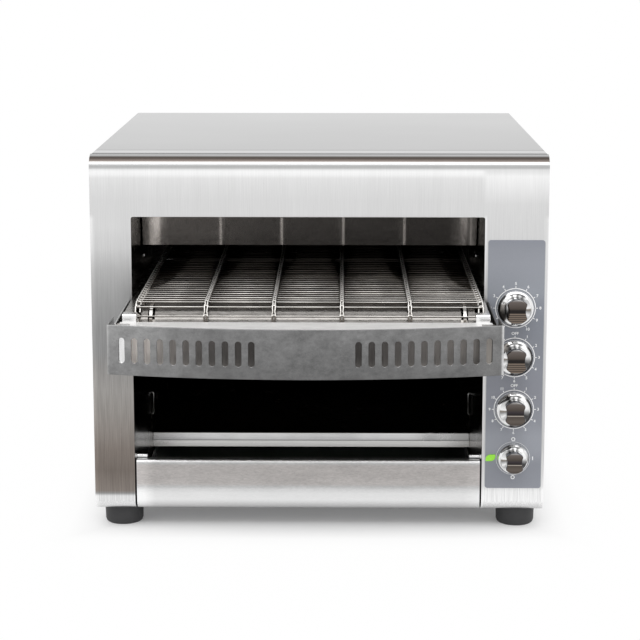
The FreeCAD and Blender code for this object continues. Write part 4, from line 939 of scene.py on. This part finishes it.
guard_middle = (GUARD_LEFT + GUARD_RIGHT) / 2
guard_chord = (GUARD_RIGHT - GUARD_LEFT) / 2
guard_radius = (guard_chord ** 2 + GUARD_BOW ** 2) / (2 * GUARD_BOW)
guard_end = GUARD_BOW - GUARD_REACH


def bow(x):
    """Depth of the guard's curved front."""
    return guard_radius - GUARD_REACH - math.sqrt(guard_radius ** 2 - (x - guard_middle) ** 2)


guard_line = [(GUARD_LEFT + 1.5, guard_end + 37)]
bow_count = 40
for i in range(bow_count + 1):
    x = GUARD_LEFT + (GUARD_RIGHT - GUARD_LEFT) * i / bow_count
    guard_line.append((x, bow(x)))
guard_line.append((GUARD_RIGHT - 1.5, guard_end + 37))
guard_path = rounded_path(guard_line, [2.5] + [40] * (bow_count - 1) + [2.5], 0.3)
guard_rims = [strip(guard_path, GUARD_LOW, GUARD_HIGH)]
slot_middle = (GUARD_LOW + GUARD_HIGH) / 2
SLOTS, SLOT_PITCH, FIRST_SLOT = 11, 12.7, 14.5
for i in range(SLOTS):
    for x in (GUARD_LEFT + FIRST_SLOT + i * SLOT_PITCH, GUARD_RIGHT - FIRST_SLOT - i * SLOT_PITCH):
        u = distance_at(guard_path, 0, x, 8)
        guard_rims.append(corner_arc((u, slot_middle + 9.5), 3, 0, 180, 10) +
                          corner_arc((u, slot_middle - 9.5), 3, 180, 360, 10))
band = bent(guard_rims, GUARD_THICK, guard_path, level, 1, 0.65)
smooth(fix_normals(band), 25)
piece("guard_band", band, GUARD, ("burn_guard",))

# sheet behind the guard's slots that shows painted light and shade through them
slot_shade_plate = flat_plate([[(-196, 197), (172, 197), (172, 243.4), (-196, 243.4)]], 0.8, 0.2)
for vert in slot_shade_plate.vertices:
    vert.co = at(vert.co.x, -104.9 - vert.co.z, vert.co.y)
smooth(fix_normals(slot_shade_plate), 25)
piece("guard_slot_shade", slot_shade_plate, SLOT_SHADE)

# ---- belt


def turn_places(run, shaft, first):
    """Wires between the two runs at one shaft, from an angle onwards."""
    places = []
    for i in range(1, TEETH // 2):
        angle = first - 2 * math.pi * i / TEETH
        places.append((run, shaft + PITCH_RADIUS * math.cos(angle), SHAFT_Z + PITCH_RADIUS * math.sin(angle)))
    return places


def wire_places():
    """Middle of each wire once round, with the run it belongs to."""
    steps = range(RUN_PITCHES + 1)
    places = [("top_run", FRONT_SHAFT + i * PITCH, BELT_Z) for i in steps]
    places += turn_places("rear_turn", REAR_SHAFT, math.pi / 2)
    places += [("bottom_run", REAR_SHAFT - i * PITCH, SHAFT_Z - PITCH_RADIUS) for i in steps]
    return places + turn_places("front_turn", FRONT_SHAFT, -math.pi / 2)


EDGE_HOOK = ((4.6, 0.42, -0.4), (4.4, 0.86, -1.0), (3.6, 1.15, -0.2), (0.9, 1.15, 0.5), (0.0, 0.95, 0.95),
             (0.0, 0.2, 0.3), (0.8, 0.0, 0.0))


def wire_line(reach):
    """One wire from above as (x, share of a pitch ahead, rise): hooked round the next wire at both edges, and as
    far as reach at each joint."""
    line = [(BELT_LEFT + across, share, rise) for across, share, rise in EDGE_HOOK]
    if reach > 0:
        half = ((-2.3, 0.0, 0.0), (-1.8, 0.1, 0.1), (-1.0, 0.5, 0.8), (-1.6, reach - 0.14, 1.3), (-0.9, reach, 1.0))
        for x in JOINTS:
            line += [(x + across, share, rise) for across, share, rise in half]
            line += [(x - across, share, rise) for across, share, rise in reversed(half)]
    line += [(BELT_RIGHT - across, share, rise) for across, share, rise in reversed(EDGE_HOOK)]
    return line


def belt_run(run):
    """All wires of one run as one piece."""
    curve = bpy.data.curves.new("belt_" + run, "CURVE")
    curve.dimensions = "3D"
    curve.bevel_depth = (WIRE / 2 - 0.02) * MM
    curve.bevel_resolution = 1
    places = wire_places()
    for i, (name, f, z) in enumerate(places):
        if name != run:
            continue
        onward = places[(i + 1) % len(places)]
        ahead = Vector((0, onward[1] - f, onward[2] - z)).normalized()
        normal = Vector((1, 0, 0)).cross(ahead)
        last_joint = run == "top_run" and i == RUN_PITCHES
        line = wire_line(1.12 if run in ("top_run", "front_turn") and not last_joint else 0.0)
        poly_line(curve, [at(x, f, z) + ahead * share * PITCH * MM + normal * rise * MM for x, share, rise in line])
    curve.materials.append(WIRE_METAL)
    thing = bpy.data.objects.new("wires_" + run, curve)
    show(thing)
    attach(thing, "cabinet")
    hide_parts("belt_" + run)


for run_name in ("top_run", "front_turn", "rear_turn", "bottom_run"):
    belt_run(run_name)

# ---- knobs


def knob(name):
    """Skirt with a rolled edge, and a waisted grip with rounded corners, drawn facing the user."""
    z, radius = KNOBS[name]
    start = at(KNOB_X, -1.0, z)
    front = (0, -1, 0)
    skirt = [(0, 0), (0, radius - 0.6), (0.5, radius), (2.4, radius), (3.4, radius * 0.985), (4.4, radius * 0.95),
             (5.6, radius * 0.88), (6.6, radius * 0.8), (7.4, radius * 0.72), (7.8, radius * 0.66), (7.9, 0)]
    parts = [lathe(skirt, start, front, 72)]
    barrel = radius * 0.68
    scoop = radius * 0.95
    offset = scoop + barrel * 0.68
    meet = (barrel ** 2 + offset ** 2 - scoop ** 2) / (2 * offset)
    corner = math.degrees(math.acos(meet / barrel))
    inner = math.degrees(math.atan2(math.sqrt(barrel ** 2 - meet ** 2), offset - meet))
    rim = corner_arc((0, 0), barrel, corner + 4, 180 - corner - 4, 16)
    rim += corner_arc((-offset, 0), scoop, inner - 3, -inner + 3, 14)
    rim += corner_arc((0, 0), barrel, 180 + corner + 4, 360 - corner - 4, 16)
    rim += corner_arc((offset, 0), scoop, 180 + inner - 3, 180 - inner + 3, 14)
    grip = flat_plate([rim], 13.9, 1.1)
    for vert in grip.vertices:
        vert.co = at(KNOB_X + vert.co.x, -1.0 - 7.0 - (vert.co.z + 6.95), z + vert.co.y)
    parts.append(fix_normals(grip))
    whole = joined(parts, 35)
    body = name + "_knob"
    piece(body + "_turned", whole, KNOB_LOOKS[name], (body,), body)


for knob_name in KNOBS:
    knob(knob_name)

# ---- feet

FOOT = [(0, 0), (0, 15.5), (0.3, 18.2), (1.2, 19.2), (2.6, 19.6), (3.4, 20.0), (16.5, 20.4), (19.6, 20.4),
        (20.6, 19.8), (21.0, 18.8), (21.0, 0)]
for end, f in (("front", 35.0), ("rear", 425.0)):
    for hand, side in (("left", -1), ("right", 1)):
        node_name = "foot_%s_%s" % (end, hand)
        foot = lathe(FOOT, at(side * 208.6, f, 0), (0, 0, 1), 56)
        smooth(foot, 30)
        piece(node_name + "_moulded", foot, RUBBER, (node_name,))

# ---- marks on the control strip


def mark_bar(x0, z0, x1, z1, width):
    """Outline of a straight printed line."""
    along = Vector((x1 - x0, z1 - z0)).normalized()
    across = Vector((-along.y, along.x)) * width / 2
    return [(x0 + across.x, z0 + across.y), (x0 - across.x, z0 - across.y), (x1 - across.x, z1 - across.y),
            (x1 + across.x, z1 + across.y)]


INK = 0.08


def printed(outlines_list):
    """Thin raised marks on the face of the strip."""
    meshes = []
    for outlines in outlines_list:
        mesh = flat_plate(outlines, INK, 0.01)
        for vert in mesh.vertices:
            vert.co = at(vert.co.x, -0.5 - INK / 2 - vert.co.z + 0.02, vert.co.y)
        meshes.append(fix_normals(mesh))
    return meshes


def printed_text(text, x, z, size):
    curve = bpy.data.curves.new("text", "FONT")
    curve.body = text
    curve.size = size
    curve.align_x = "CENTER"
    curve.align_y = "CENTER"
    curve.extrude = 0.04
    curve.offset = 0.09
    mesh = mesh_of(curve)
    for vert in mesh.vertices:
        vert.co = at(x + vert.co.x, -0.52 - vert.co.z, z + vert.co.y)
    return fix_normals(mesh)


def ring(x, z, radius, width, count=72):
    return [corner_arc((x, z), radius + width / 2, 0, 360 - 360 / count, count - 1),
            corner_arc((x, z), radius - width / 2, 0, 360 - 360 / count, count - 1)]


def around(z, radius, degrees):
    """Place round a knob, with zero degrees at the top and turning to the right."""
    angle = math.radians(degrees)
    return KNOB_X + radius * math.sin(angle), z + radius * math.cos(angle)


marks = []
texts = []


def dial(z, first, count, tick_end, digits, size, first_digit):
    """Ring, ticks thirty degrees apart and their digits."""
    marks.append(ring(KNOB_X, z, 20.5, 0.9))
    for i in range(count):
        degrees = first + 30 * i
        marks.append([mark_bar(*around(z, 20.4, degrees), *around(z, tick_end, degrees), 0.8)])
        if i >= first_digit:
            texts.append((str(i), *around(z, digits, degrees), size))


dial(KNOBS["speed"][0], -150, 11, 23.0, 25.6, 4.2, 0)
for heat in ("top_heat", "bottom_heat"):
    dial(KNOBS[heat][0], 0, 12, 22.8, 25.2, 4.0, 1)
    texts.append(("OFF", KNOB_X, KNOBS[heat][0] + 25.2, 4.2))
power_z = KNOBS["power"][0]
marks.append(ring(KNOB_X, power_z, 17.6, 0.4))
for side in (-1, 1):
    marks.append(ring(KNOB_X, power_z + side * 20.5, 1.7, 0.9, 32))
marks.append([mark_bar(KNOB_X + 20.5, power_z - 2.0, KNOB_X + 20.5, power_z + 2.0, 0.9)])
mark_meshes = printed(marks) + [printed_text(*entry) for entry in texts]
piece("scale_marks", joined(mark_meshes, 20), PRINT)

# ---- wire clips on the chamber walls


def clip_mesh(x, side, f, low, high):
    """Upright wire staple that stands off a wall."""
    curve = bpy.data.curves.new("clip", "CURVE")
    curve.dimensions = "3D"
    curve.bevel_depth = 0.6 * MM
    curve.bevel_resolution = 2
    points = ((0.2, low), (1.9, low + 0.6), (2.3, low + 2), (2.3, high - 2), (1.9, high - 0.6), (0.2, high))
    poly_line(curve, [at(x + side * out, f, z) for out, z in points])
    return mesh_of(curve)


clips = [clip_mesh(wall, side, 178, 79, 104) for wall, side in WALLS]
piece("wall_clips", joined(clips, 40), BRIGHT)

# ---- small fasteners

SCREW = [(0, 0), (0, 3.4), (0.5, 3.4), (1.1, 3.0), (1.6, 2.2), (1.75, 1.2), (1.75, 0)]
PLUG = [(0, 0), (0, 3.0), (0.4, 3.0), (0.7, 2.5), (0.8, 1.5), (0.8, 0)]
COLLAR = [(0, 0), (0, 3.4), (1.2, 3.4), (1.6, 2.9), (1.6, 0)]


def screw_set(name, entries, profile):
    """Turned heads at places on the cabinet, each with the way it faces."""
    meshes = [lathe(profile, at(*place), axis, 20) for place, axis in entries]
    piece(name, joined(meshes, 30), BRIGHT)


wall_screws = [((wall, f, z), (side, 0, 0)) for f, z in ((124, 272), (212, 272), (124, 318), (212, 318), (320, 318))
               for wall, side in WALLS]
screw_set("wall_screws", wall_screws, SCREW)
back_places = [(x, 40) for x in (-220, -80, 80, 220)]
back_places += [(side * 220, z) for side in (-1, 1) for z in (130, 220, 310, 372)]
screw_set("back_screws", [((x, 458.25, z), (0, 1, 0)) for x, z in back_places], PLUG)
side_screws = [((side * 233.6, f, 36), (side, 0, 0)) for side in (-1, 1) for f in (70, 250, 430)]
screw_set("side_screws", side_screws, PLUG)
pin_collars = [((wall, 9, 78.25), (side, 0, 0)) for wall, side in WALLS]
screw_set("pin_collars", pin_collars, COLLAR)
